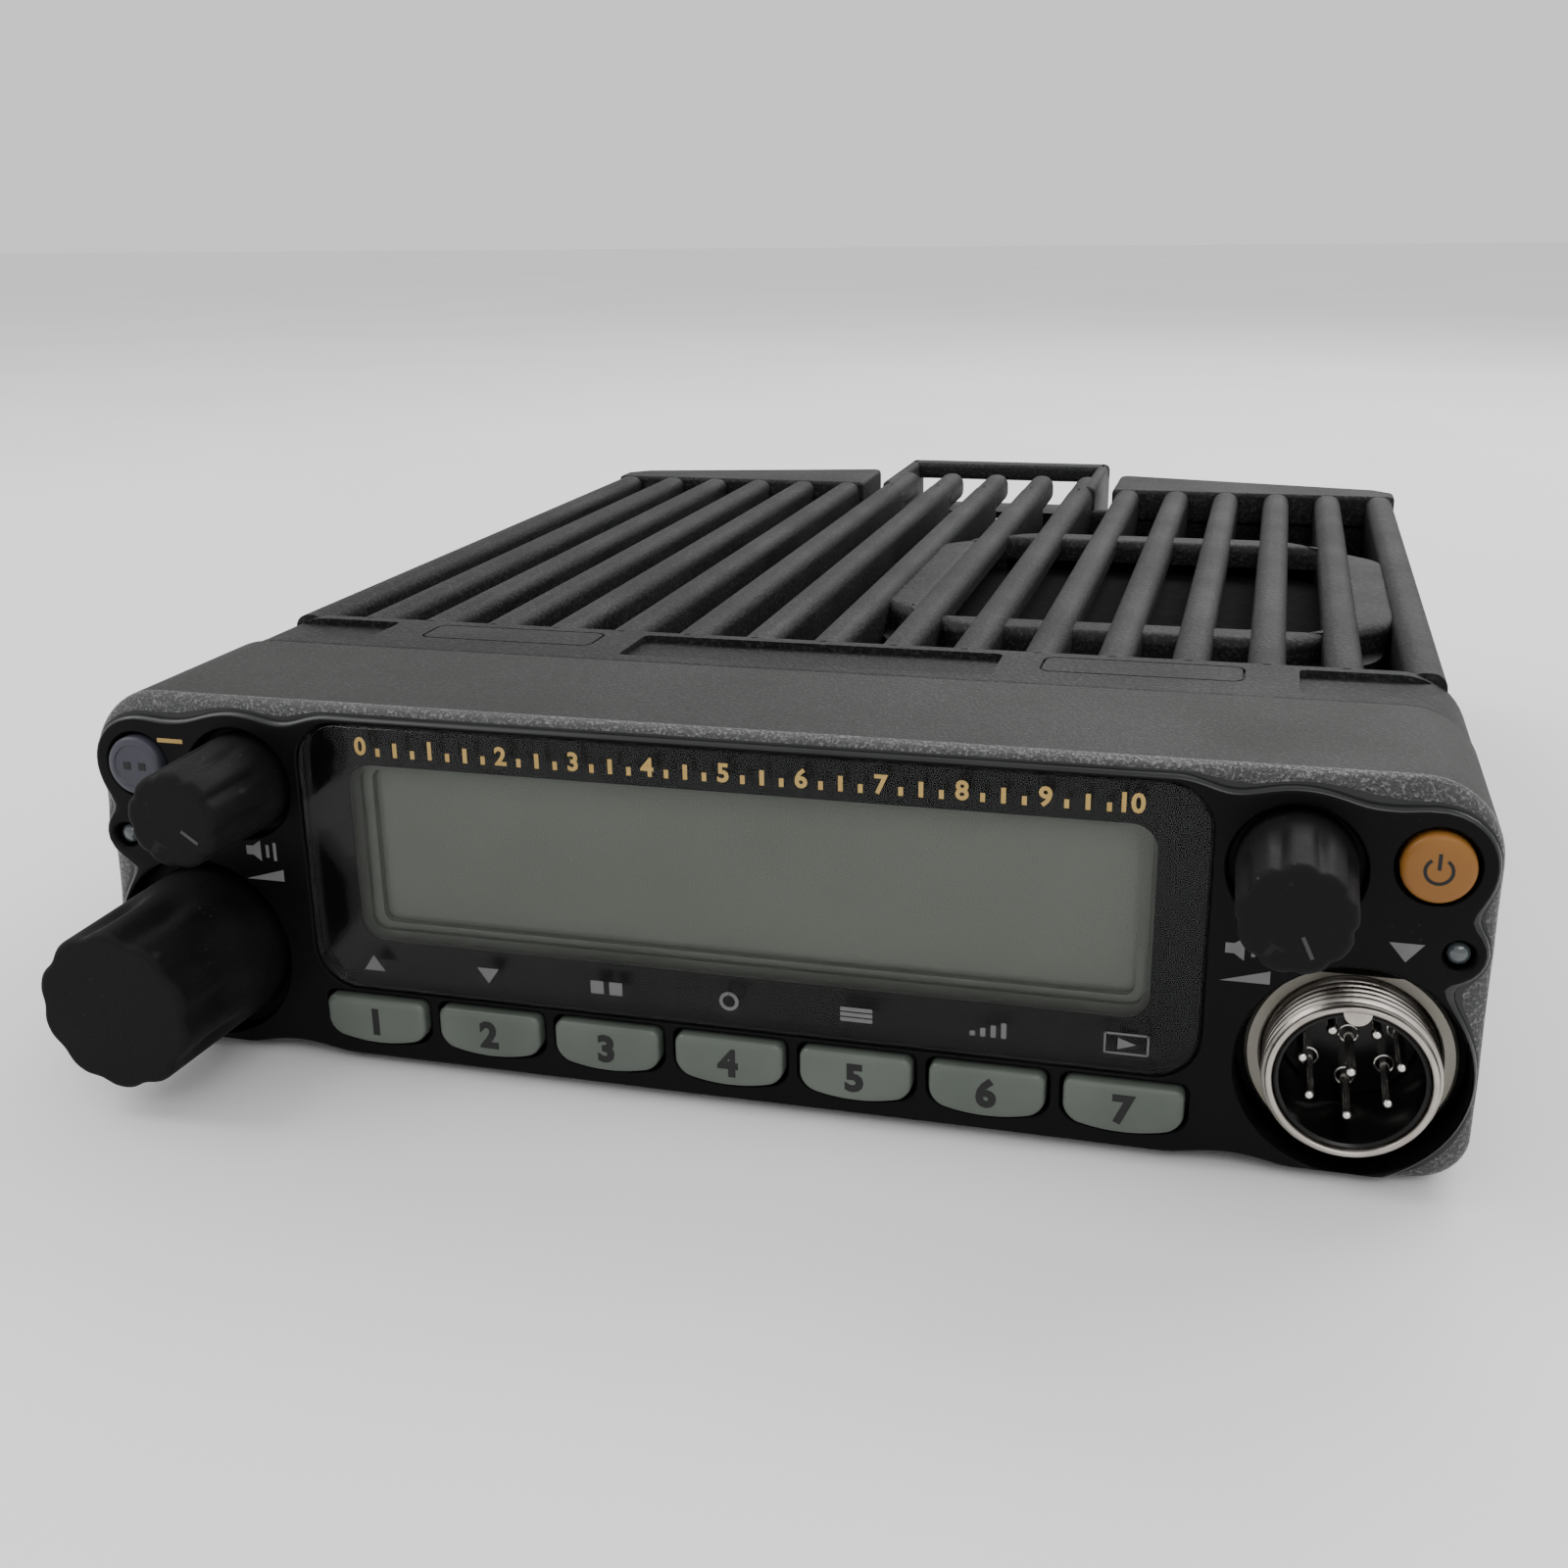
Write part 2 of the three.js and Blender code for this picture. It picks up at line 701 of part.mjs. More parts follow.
// ---------------------------------------------------------------- head circuit board and back plate
const boardEdge = 1.2;
const boardShape = roundedShape(
  -headInnerHalf + boardEdge,
  headInnerHalf - boardEdge,
  headFloor + headWall + 0.6,
  headInnerTop - 0.6,
  4,
  2.5,
);
const socketNotch = micSocket.radius + 1;
const socketClearance = joined(
  rodY(socketNotch, boardFront - 1, boardBackFace + 1, micSocket.across, micSocket.height),
  block(
    micSocket.across,
    half,
    boardFront - 1,
    boardBackFace + 1,
    headFloor,
    micSocket.height + socketNotch,
  ),
);
addPart(
  "head_board",
  alongY(boardShape, boardFront, boardBackFace).subtract(socketClearance),
  circuitBoard,
);

const backPlateFront = headDepth + touchGap;
const linkWidth = 12;
const linkHeight = 9;
const linkCentre = 16;
const linkHole = centredBlock(0, linkCentre, linkWidth + 0.6, linkHeight + 0.6, 0, bodyDepth);
addPart(
  "head_back_plate",
  joined(
    alongY(headOutline(0.35, 0.35, 0.35), backPlateFront, backPlateFront + backPlateWall, 5),
    alongY(plugShape, headDepth - 2.2, backPlateFront + 0.1, 5),
  ).subtract(linkHole),
  plate,
);

// ---------------------------------------------------------------- chassis
const chassisFront = backPlateFront + backPlateWall + touchGap;
const chassisFloor = coverThickness + touchGap;
const chassisHalf = half - sideInset;
const rearPanelBack = ribBack + rearPanelWall;
const hoodHalf = hoodWidth / 2;
const innerHalf = chassisHalf - chassisWall;
const cavityFront = chassisFront + chassisWall;

function mirroredPlan(rightSide) {
  const leftSide = rightSide.map(([x, y]) => [-x, y]).reverse();
  return outlineShape([...rightSide, ...leftSide]);
}

function ribSolid(x, backEnd) {
  const w = ribWidth / 2;
  const crown = 1.5;
  const shape = new THREE.Shape();
  shape.moveTo(x - w, plateTop - 1);
  shape.lineTo(x + w, plateTop - 1);
  shape.lineTo(x + w, chassisTop - crown);
  shape.lineTo(x + w * 0.55, chassisTop - 0.35);
  shape.lineTo(x, chassisTop);
  shape.lineTo(x - w * 0.55, chassisTop - 0.35);
  shape.lineTo(x - w, chassisTop - crown);
  return alongY(shape, flangeBack - 1, backEnd);
}

function screwBoss(x, y, z0, z1) {
  return rodZ(bossRadius, z0, z1, x, y);
}

const coverScrews = [];
for (const x of [-chassisHalf + 8, chassisHalf - 8]) {
  for (const y of [cavityFront + 5, (cavityFront + ribBack) / 2, ribBack - 9]) {
    coverScrews.push([x, y]);
  }
}
const boardTop = 9.4;
const mainBoardThickness = 1.6;
const mainBoardHalf = chassisHalf - 13;
const boardScrews = [];
for (const x of [-mainBoardHalf + 5, mainBoardHalf - 5]) {
  for (const y of [cavityFront + 12, ribBack - 12]) {
    boardScrews.push([x, y]);
  }
}

const bayInnerCut = speakerBay.corner - 1;
const bayInner = octagonShape(
  speakerBay.across,
  speakerBay.along,
  speakerBay.width - 5,
  speakerBay.length - 5,
  bayInnerCut,
);
const speakerShelf = speakerBay.top - 3.2;

function buildChassis() {
  const trayPlan = mirroredPlan([
    [chassisHalf, chassisFront],
    [chassisHalf, rearPanelBack - 3],
    [chassisHalf - 3, rearPanelBack],
  ]);
  const outline = alongY(
    roundedShape(-half + 0.2, half - 0.2, chassisFloor, chassisTop, topCornerRadius, 2.5),
    chassisFront,
    bodyDepth,
    6,
  );
  // The tray: side walls, front wall, rear panel and the plate that carries the ribs.
  let tray = alongZ(trayPlan, chassisFloor, plateTop);
  const sideWallTop = 32;
  for (const side of Object.values(sides)) {
    const xs = [side * chassisHalf, side * innerHalf].sort((a, b) => a - b);
    tray = tray.add(block(xs[0], xs[1], chassisFront, rearPanelBack - 3, plateTop - 1, sideWallTop));
  }
  tray = tray.add(block(-innerHalf, innerHalf, ribBack, rearPanelBack, plateTop - 1, chassisTop));
  // The flange that the head meets.
  const flange = roundedShape(-half, half, chassisFloor, chassisTop, topCornerRadius, 2.5);
  tray = tray.add(alongY(flange, chassisFront, flangeBack, 6));
  // The eave over the rear panel, swept from the corners towards the hood.
  const notchInner = hoodHalf + notchWidth;
  for (const side of Object.values(sides)) {
    const eave = outlineShape([
      [side * (chassisHalf - 1.5), ribBack],
      [side * (chassisHalf - 1.5), eaveCorner - 3],
      [side * (chassisHalf - 4.5), eaveCorner],
      [side * (notchInner + 1), eaveInner],
      [side * notchInner, eaveInner - 1],
      [side * notchInner, ribBack],
    ]);
    tray = tray.add(alongZ(eave, chassisTop - eaveThickness, chassisTop));
  }

  // The hood round the fan: two side walls and a bar across the top.
  for (const side of Object.values(sides)) {
    const xs = [side * hoodHalf, side * (hoodHalf - hoodWall)].sort((a, b) => a - b);
    tray = tray.add(block(xs[0], xs[1], rearPanelBack - 1, bodyDepth, chassisFloor, chassisTop));
  }
  const barFront = bodyDepth - hoodBar.depth;
  tray = tray.add(block(-hoodHalf, hoodHalf, barFront, bodyDepth, chassisTop - hoodBar.height, chassisTop));

  // The bay that holds the loudspeaker, with its mouth just under the ribs.
  const bayOuter = octagonShape(
    speakerBay.across,
    speakerBay.along,
    speakerBay.width,
    speakerBay.length,
    speakerBay.corner,
  );
  const mouth = centredShape(
    speakerBay.across,
    speakerBay.along,
    speakerMouth.width,
    speakerMouth.length,
    speakerMouth.corner,
  );
  let bay = alongZ(bayOuter, plateTop - 1, speakerBay.top);
  bay = cutFrom(bay, alongZ(bayInner, plateTop - 2, speakerShelf), alongZ(mouth, speakerShelf - 1, chassisTop));

  // The cavity under the plate, the duct to the fan, and the loudspeaker's own space.
  const cavityTop = plateFloor;
  const cavityPlan = mirroredPlan([
    [innerHalf, cavityFront],
    [innerHalf, ribBack],
  ]);
  const duct = block(
    -hoodHalf + hoodWall,
    hoodHalf - hoodWall,
    ribBack - 1,
    barFront,
    chassisFloor - 1,
    chassisTop - 1.5,
  );
  let body = cutFrom(
    tray,
    alongZ(cavityPlan, chassisFloor - 1, cavityTop),
    duct,
    alongZ(bayInner, plateFloor - 1, speakerShelf),
    linkHole.intersect(block(-half, half, 0, flangeBack - 1, 0, bodyHeight)),
  );
  // The fan duct is open over the plate's rear edge, so air leaves between the centre ribs.
  const gap = ribPitch - ribWidth;
  const ductMouth = block(-hoodHalf + hoodWall, hoodHalf - hoodWall, ribBack - gap, barFront, plateTop, chassisTop + 1);
  body = body.subtract(ductMouth);
  body = body.add(bay);

  // The ribs, cut short over the loudspeaker.
  const bayHollow = alongZ(bayInner, plateTop - 2, speakerBay.top - 2);
  let ribs;
  for (let i = 0; i < ribCount; i++) {
    const x = (i - (ribCount - 1) / 2) * ribPitch;
    const inHood = Math.abs(x) < hoodHalf;
    const rib = ribSolid(x, inHood ? centreRibBack : ribBack + 1);
    ribs = ribs ? ribs.add(rib) : rib;
  }
  const underRibs = block(-hoodHalf, hoodHalf, ribBack, centreRibBack + 1, plateTop - 2, chassisTop - centreRibHeight);
  body = body.add(cutFrom(ribs, bayHollow, underRibs));

  // Shallow pockets in the flange's top.
  const pocketBack = flangeBack - 2.8;
  const pocketFloor = chassisTop - pocketDepth;
  body = body.subtract(block(-pocketMiddle, pocketMiddle, chassisFront + 2.5, pocketBack, pocketFloor, chassisTop + 1));
  for (const side of Object.values(sides)) {
    const xs = [side * pocketOuter, side * (half + 1)].sort((a, b) => a - b);
    body = body.subtract(block(xs[0], xs[1], chassisFront + 2.5, pocketBack, pocketFloor, chassisTop + 1));
  }

  // Bosses for the cover's screws and pillars for the board.
  for (const [x, y] of coverScrews) {
    body = body.add(screwBoss(x, y, chassisFloor, plateFloor + 1));
    body = body.subtract(rodZ(screwRadius + touchGap, chassisFloor - 1, chassisFloor + 9, x, y, screwSides));
  }
  for (const [x, y] of boardScrews) {
    body = body.add(screwBoss(x, y, boardTop + touchGap, plateFloor + 1));
    body = body.subtract(rodZ(screwRadius + touchGap, boardTop, boardTop + 8, x, y, screwSides));
  }

  // Holes in the rear panel for the connectors.
  const wall = [ribBack - 2, rearPanelBack + 1];
  const holes = [
    rodY(antennaSocket.barrel - 1.5, ...wall, antennaSocket.across, antennaSocket.height),
    centredBlock(powerInlet.across, powerInlet.height, powerInlet.width - 3, powerInlet.tall - 3, ...wall),
    centredBlock(dataSocket.across, dataSocket.height, dataSocket.width - 14, dataSocket.tall - 4, ...wall),
    rodY(jack.radius - 1, ...wall, jack.across, jack.height),
    rodY(jack.radius - 1, ...wall, -jack.across, jack.height),
  ];
  body = cutFrom(body, ...holes);
  return body.intersect(outline);
}

// The casting is one piece of metal, kept as three simple pieces that meet with a small gap: the flange
// with its side walls, the plate with its ribs and bosses, and the rear panel with its hood and eaves.
function splitCasting(casting) {
  const low = chassisFloor - 1;
  const high = chassisTop + 1;
  const sinkHalf = ((ribCount - 1) / 2) * ribPitch + ribWidth / 2;
  // What belongs to the ribbed plate, grown by a gap to make the room for it in its neighbours.
  const sinkZone = (gap) => {
    let zone = block(-sinkHalf - gap, sinkHalf + gap, flangeBack + touchGap - gap, ribBack - touchGap + gap, plateFloor - gap, high);
    const inner = innerHalf - touchGap + gap;
    zone = zone.add(block(-inner, inner, cavityFront + touchGap - gap, ribBack - touchGap + gap, low, plateTop + gap));
    for (let i = 0; i < ribCount; i++) {
      const x = (i - (ribCount - 1) / 2) * ribPitch;
      const reach = ribWidth / 2 + gap;
      if (Math.abs(x) < hoodHalf) {
        zone = zone.add(block(x - reach, x + reach, ribBack - 1, centreRibBack + gap, chassisTop - centreRibHeight - gap, high));
      }
    }
    return zone;
  };
  const rearZone = block(-half, half, ribBack, bodyDepth + 1, low, high);
  const room = sinkZone(touchGap);
  return {
    frame: cutFrom(casting, room, block(-half, half, ribBack - touchGap, bodyDepth + 1, low, high)),
    heatSink: casting.intersect(sinkZone(0)),
    rear: casting.intersect(rearZone).subtract(room),
  };
}

const casting = splitCasting(buildChassis());
addPart("chassis", casting.frame, paintedMetal);
addPart("heat_sink", casting.heatSink, paintedMetal);
addPart("rear_frame", casting.rear, paintedMetal);

// ---------------------------------------------------------------- bottom cover and its screws
function buildCover() {
  const tongue = hoodHalf - 0.2;
  const plan = mirroredPlan([
    [chassisHalf - 0.5, chassisFront + 1],
    [chassisHalf - 0.5, rearPanelBack - 3.5],
    [chassisHalf - 3.5, rearPanelBack - 0.5],
    [tongue, rearPanelBack - 0.5],
    [tongue, bodyDepth - 0.5],
  ]);
  let cover = alongZ(plan, 0, coverThickness);
  for (const [x, y] of coverScrews) {
    cover = cover.subtract(rodZ(screwRadius + touchGap, -1, coverThickness + 1, x, y, screwSides));
    cover = cover.subtract(rodZ(screwHead + touchGap, -1, 1, x, y));
  }
  const ventWidth = 2.2;
  const ventPitch = 5;
  for (let i = -2; i <= 2; i++) {
    const x = speakerBay.across + i * ventPitch;
    const y = speakerBay.along;
    cover = cover.subtract(block(x - ventWidth / 2, x + ventWidth / 2, y - 14, y + 14, -1, coverThickness + 1));
  }
  return cover;
}

addPart("bottom_cover", buildCover(), paintedMetal);

function screwUp(headFloorHeight, headHeight, length) {
  const head = rodZ(screwHead, headFloorHeight, headFloorHeight + headHeight, 0, 0, 12);
  const shank = rodZ(screwRadius, headFloorHeight + headHeight - 0.1, headFloorHeight + length, 0, 0, screwSides);
  return head.add(shank);
}

coverScrews.forEach(([x, y], i) => {
  addPart("cover_screw_" + (i + 1), screwUp(0.1, 0.6, 8), steel, x, y);
});

// ---------------------------------------------------------------- circuit board and what stands on it
function buildMainBoard() {
  let board = block(
    -mainBoardHalf,
    mainBoardHalf,
    cavityFront + 4,
    ribBack - 6,
    boardTop - mainBoardThickness,
    boardTop,
  );
  for (const [x, y] of boardScrews) {
    board = board.subtract(rodZ(screwRadius + touchGap, boardTop - 4, boardTop + 1, x, y, screwSides));
  }
  return board;
}

addPart("main_board", buildMainBoard(), circuitBoard);
boardScrews.forEach(([x, y], i) => {
  const under = boardTop - mainBoardThickness - touchGap - 1.4;
  addPart("board_screw_" + (i + 1), screwUp(under, 1.4, 7.6), steel, x, y);
});

const onBoard = boardTop + touchGap;
const underPlate = plateFloor - touchGap;
function standing(piece, top) {
  const { across, width, front, back } = piece;
  return block(across - width / 2, across + width / 2, front, back, onBoard, top);
}

addPart("power_module", standing(powerModule, underPlate), darkPlastic);
addPart("receiver_shield", standing(receiverShield, onBoard + receiverShield.height), plate);
addPart("supply_capacitor", rodZ(supplyCapacitor.radius, onBoard, underPlate, supplyCapacitor.across, supplyCapacitor.along), darkPlastic);
addPart("link_socket", centredBlock(0, linkCentre, linkWidth, linkHeight, headDepth - 3, cavityFront + 9), darkPlastic);

// ---------------------------------------------------------------- loudspeaker
function buildSpeaker() {
  const top = speakerShelf - 1.6 - 2 * touchGap;
  const rim = 2;
  const magnetRadius = 11;
  const points = [
    [0, top - 4],
    [speakerRadius - 6, top - 0.6],
    [speakerRadius - 3, top - 0.6],
    [speakerRadius - 3, top],
    [speakerRadius, top],
    [speakerRadius, top - rim],
    [speakerRadius - 7, top - rim - 1.5],
    [magnetRadius, top - rim - 4],
    [magnetRadius, top - speakerHeight],
    [0, top - speakerHeight],
  ];
  const profile = points.map(([r, z]) => new THREE.Vector2(r, z));
  const geometry = new THREE.LatheGeometry(profile, round);
  geometry.rotateX(Math.PI / 2);
  geometry.translate(speakerBay.across, speakerBay.along, 0);
  return toSolid(geometry);
}

addPart("loudspeaker", buildSpeaker(), paperCone);
const clothTop = speakerShelf - touchGap;
const clothShape = octagonShape(
  speakerBay.across,
  speakerBay.along,
  speakerBay.width - 6,
  speakerBay.length - 6,
  bayInnerCut,
);
addPart("speaker_cloth", alongZ(clothShape, clothTop - 1.6, clothTop), foam);

// ---------------------------------------------------------------- fan
const fanMiddle = fanFloor + fanSize / 2;
const fanBack = bodyDepth - 2.5;
const fanFront = fanBack - fanThickness;
const fanBore = fanSize / 2 - 1.2;
const statorFront = fanBack - 1.6;

function buildFanFrame() {
  const square = centredShape(0, fanMiddle, fanSize, fanSize, 2);
  let frame = alongY(square, fanFront, fanBack);
  frame = frame.subtract(rodY(fanBore, fanFront - 1, fanBack + 1, 0, fanMiddle));
  const spokes = joined(
    centredBlock(0, fanMiddle, fanSize - 1, 2, statorFront, fanBack),
    centredBlock(0, fanMiddle, 2, fanSize - 1, statorFront, fanBack),
    rodY(fanHub, statorFront, fanBack, 0, fanMiddle, roundSmall),
  );
  frame = frame.add(spokes);
  const pin = rodY(1, fanFront + 3, statorFront + 0.5, 0, fanMiddle, screwSides);
  frame = frame.add(pin);
  for (const sx of [-1, 1]) {
    for (const sz of [-1, 1]) {
      const reach = fanSize / 2 - 2.7;
      frame = frame.subtract(rodY(1.3, fanFront - 1, fanBack + 1, sx * reach, fanMiddle + sz * reach, screwSides));
    }
  }
  return frame;
}

addPart("fan_frame", buildFanFrame(), darkPlastic);

function buildFanRotor() {
  const front = fanFront + 0.8;
  const back = statorFront - 0.5;
  let rotor = rodY(fanHub, front, back, 0, 0, roundSmall);
  const bladeLength = fanBore - 0.7 - fanHub + 1;
  const bladeChord = (back - front) * 1.15;
  for (let i = 0; i < fanBlades; i++) {
    const blade = new THREE.BoxGeometry(bladeLength, bladeChord, 0.9);
    blade.rotateX(0.75);
    blade.translate(fanHub - 1 + bladeLength / 2, (front + back) / 2, 0);
    blade.rotateY((2 * Math.PI * i) / fanBlades);
    rotor = rotor.add(toSolid(blade));
  }
  const sweep = rodY(fanBore - 0.7, front, back, 0, 0);
  return rotor.intersect(sweep).subtract(rodY(1.12, fanFront, statorFront, 0, 0, screwSides));
}

addPart("fan_rotor", buildFanRotor(), darkPlastic, 0, 0, fanMiddle);

// ---------------------------------------------------------------- rear connectors
const rearFace = rearPanelBack + touchGap;

function buildAntennaSocket() {
  const { across, height, flange, barrel, reach } = antennaSocket;
  const square = alongY(centredShape(across, height, flange, flange, 1.5), rearFace, rearFace + 1.8);
  const outer = rodY(barrel, rearFace + 1, rearFace + reach, across, height);
  const mouth = rodY(barrel - 1.6, rearFace + reach - 5.5, rearFace + reach + 1, across, height);
  const tail = rodY(barrel - 2.2, ribBack - 3, rearFace + 1, across, height);
  const contact = rodY(2.6, rearFace + 2, rearFace + reach - 1.2, across, height, roundSmall);
  return joined(square, outer, tail).subtract(mouth).add(contact);
}

addPart("antenna_socket", buildAntennaSocket(), nickel);

function buildPowerInlet() {
  const { across, height, width, tall, reach } = powerInlet;
  const outer = centredBlock(across, height, width, tall, rearFace, rearFace + reach);
  const mouth = centredBlock(across, height, width - 3, tall - 3, rearFace + 2, rearFace + reach + 1);
  const tail = centredBlock(across, height, width - 4, tall - 4, ribBack - 3, rearFace + 1);
  const blades = [-1, 1].map((side) =>
    centredBlock(across, height + side * 3, 4.5, 1, rearFace + 1, rearFace + reach - 4.5),
  );
  return joined(outer, tail).subtract(mouth).add(joined(...blades));
}

addPart("power_inlet", buildPowerInlet(), darkPlastic);

function buildJack(side) {
  const x = side * jack.across;
  const nut = rodY(jack.radius, rearFace, rearFace + jack.reach, x, jack.height, roundSmall);
  const body = rodY(jack.radius - 1.4, ribBack - 5, rearFace + 1, x, jack.height, roundSmall);
  const bore = rodY(jack.bore, ribBack - 3, rearFace + jack.reach + 1, x, jack.height, roundSmall);
  return joined(nut, body).subtract(bore);
}

addPart("speaker_jack_main", buildJack(1), nickel);
addPart("speaker_jack_sub", buildJack(-1), nickel);

function buildDataSocket() {
  const { across, height, width, tall, reach } = dataSocket;
  const flange = centredBlock(across, height, width, tall, rearFace, rearFace + 1);
  const nose = centredBlock(across, height, width - 14, tall - 4, rearFace + 0.5, rearFace + reach);
  const tail = centredBlock(across, height, width - 15, tall - 5, ribBack - 3, rearFace + 0.5);
  return joined(flange, nose, tail);
}

addPart("data_socket", buildDataSocket(), plate);

export default transceiver;
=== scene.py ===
# %% [markdown]
# # A mobile transceiver
# This lesson dresses a packed radio: a control head with a display, knobs and keys on a ribbed,
# die-cast chassis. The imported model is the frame, so every size below is read from it or counted in
# millimetres from the front face, and a finished piece is put into metres at the very end.

import math

import bmesh
import bpy
import numpy as np
from mathutils import Matrix, Vector


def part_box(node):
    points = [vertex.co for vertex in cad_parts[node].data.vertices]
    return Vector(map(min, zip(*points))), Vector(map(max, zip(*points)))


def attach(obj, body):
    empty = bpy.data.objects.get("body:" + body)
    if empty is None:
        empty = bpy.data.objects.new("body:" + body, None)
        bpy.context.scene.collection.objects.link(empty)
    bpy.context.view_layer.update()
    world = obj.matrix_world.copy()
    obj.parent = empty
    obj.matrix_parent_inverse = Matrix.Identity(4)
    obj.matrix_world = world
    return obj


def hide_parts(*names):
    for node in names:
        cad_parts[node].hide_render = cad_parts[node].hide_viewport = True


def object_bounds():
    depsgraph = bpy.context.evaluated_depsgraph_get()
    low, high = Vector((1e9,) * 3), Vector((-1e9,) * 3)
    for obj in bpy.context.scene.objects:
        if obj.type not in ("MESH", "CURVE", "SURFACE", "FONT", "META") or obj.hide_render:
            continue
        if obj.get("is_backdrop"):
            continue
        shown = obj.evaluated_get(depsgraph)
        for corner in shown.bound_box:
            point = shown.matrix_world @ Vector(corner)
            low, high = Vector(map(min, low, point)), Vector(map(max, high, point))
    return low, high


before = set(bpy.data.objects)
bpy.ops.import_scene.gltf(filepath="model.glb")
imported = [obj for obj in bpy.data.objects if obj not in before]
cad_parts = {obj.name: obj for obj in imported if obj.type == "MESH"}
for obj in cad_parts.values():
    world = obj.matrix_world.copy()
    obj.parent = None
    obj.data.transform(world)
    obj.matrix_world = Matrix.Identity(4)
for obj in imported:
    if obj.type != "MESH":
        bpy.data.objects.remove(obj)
cad_low, cad_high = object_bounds()
MM = 0.001
FACE_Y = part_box("display_lens")[0].y
BODY = "transceiver_body"

# %% [markdown]
# ## Working in millimetres
# Work pieces are built in millimetres, with Y counted back from the front face, because that is how
# such a part is drawn. `box_mm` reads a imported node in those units.

# %% Read a node in millimetres


def box_mm(node):
    low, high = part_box(node)
    shift = Vector((0, FACE_Y, 0))
    return (low - shift) / MM, (high - shift) / MM


def middle_mm(node):
    low, high = box_mm(node)
    return (low + high) / 2


head_low, head_high = box_mm("head_shell")
chassis_low, chassis_high = box_mm("chassis")
rear_high = box_mm("rear_frame")[1]
lens_low, lens_high = box_mm("display_lens")
HALF = head_high.x
print("head", [round(v, 2) for v in head_high - head_low])

# %% [markdown]
# ## Solids from rings
# Nearly every casing here is a skin between closed rings with the same number of points. `loft`
# joins such rings, closes the ends, and turns the faces outwards by checking the volume.

# %% Loft, prism and lathe


def loft(rings, ring_slots=None, looped=False):
    """Verts, faces and slots of the skin between equal rings; ends are closed, or looped together."""
    count, total = len(rings[0]), len(rings) * len(rings[0])
    verts = [tuple(p) for ring in rings for p in ring]
    faces, slots = [], []
    for r in range(len(rings) if looped else len(rings) - 1):
        for i in range(count):
            a, b = r * count + i, r * count + (i + 1) % count
            faces.append((a, b, (b + count) % total, (a + count) % total))
            slots.append(ring_slots[r] if ring_slots else 0)
    if not looped:
        faces += [tuple(range(count))[::-1], tuple(range(total - count, total))]
        slots += [ring_slots[0], ring_slots[-1]] if ring_slots else [0, 0]
    return verts, faces, slots


def at_y(ring, y):
    return [(x, y, z) for x, z in ring]


def prism_y(outline, y0, y1):
    return loft([at_y(outline, y) for y in (y0, y1)])


def prism_z(outline, z0, z1):
    return loft([[(x, y, z) for x, y in outline] for z in (z0, z1)])


def turned(radius_at, segments, x=0.0, z=0.0):
    """A ring whose radius may change with the angle."""
    angles = [2 * math.pi * i / segments for i in range(segments)]
    return [(x + radius_at(t) * math.sin(t), z + radius_at(t) * math.cos(t)) for t in angles]


def circle(radius, segments, x=0.0, z=0.0):
    return turned(lambda t: radius, segments, x, z)


def lathe_y(profile, x=0.0, z=0.0, segments=64):
    """A solid turned about Y; profile points are (radius, y), from one end to the other."""
    return loft([at_y(circle(r, segments, x, z), y) for r, y in profile])


def rod_y(radius, y0, y1, x, z, segments=64):
    return lathe_y([(radius, y0), (radius, y1)], x, z, segments)


# %% Outlines


def rounded_outline(x0, x1, z0, z1, upper, lower=None, steps=8):
    """A rectangle with one radius at the two upper corners and one at the two lower."""
    lower = upper if lower is None else lower
    corners = [
        (x1 - lower, z0 + lower, lower, -90),
        (x1 - upper, z1 - upper, upper, 0),
        (x0 + upper, z1 - upper, upper, 90),
        (x0 + lower, z0 + lower, lower, 180),
    ]
    points = []
    for cx, cz, r, start in corners:
        for i in range(steps + 1):
            t = math.radians(start + 90 * i / steps)
            points.append((cx + r * math.cos(t), cz + r * math.sin(t)))
    return points


def box_outline(low, high, inset, upper, lower=None, steps=8):
    """The rounded outline of a box seen from the front, drawn in by the inset."""
    return rounded_outline(low.x + inset, high.x - inset, low.z + inset, high.z - inset,
                           upper, lower, steps)


def softened(corners, soft, steps=5):
    """A polygon with its corners softened."""
    points = []
    for i, corner in enumerate(corners):
        p, a, b = Vector(corner), Vector(corners[i - 1]), Vector(corners[(i + 1) % len(corners)])
        start, end = p + (a - p).normalized() * soft, p + (b - p).normalized() * soft
        for k in range(steps + 1):
            t = k / steps
            points.append(tuple(start * (1 - t) ** 2 + p * 2 * t * (1 - t) + end * t * t))
    return points


def spread(outline, count):
    """The outline again, as points at equal distances along it."""
    p = np.array([*outline, outline[0]], float)
    along = np.concatenate([[0], np.cumsum(np.hypot(*np.diff(p, axis=0).T))])
    at = np.linspace(0, along[-1], count, endpoint=False)
    return list(zip(np.interp(at, along, p[:, 0]), np.interp(at, along, p[:, 1])))


# %% Work objects, cuts and the finished piece


def work(name, *solids):
    """An object in millimetres, holding one or more solids with outward faces."""
    bm = bmesh.new()
    for verts, faces, slots in solids:
        part = bmesh.new()
        made = [part.verts.new(v) for v in verts]
        for f, s in zip(faces, slots):
            part.faces.new([made[i] for i in f]).material_index = s
        if part.calc_volume(signed=True) < 0:
            bmesh.ops.reverse_faces(part, faces=part.faces[:])
        mesh = bpy.data.meshes.new("part")
        part.to_mesh(mesh)
        part.free()
        bm.from_mesh(mesh)
        bpy.data.meshes.remove(mesh)
    mesh = bpy.data.meshes.new(name)
    bm.to_mesh(mesh)
    bm.free()
    obj = bpy.data.objects.new(name, mesh)
    bpy.context.scene.collection.objects.link(obj)
    return obj


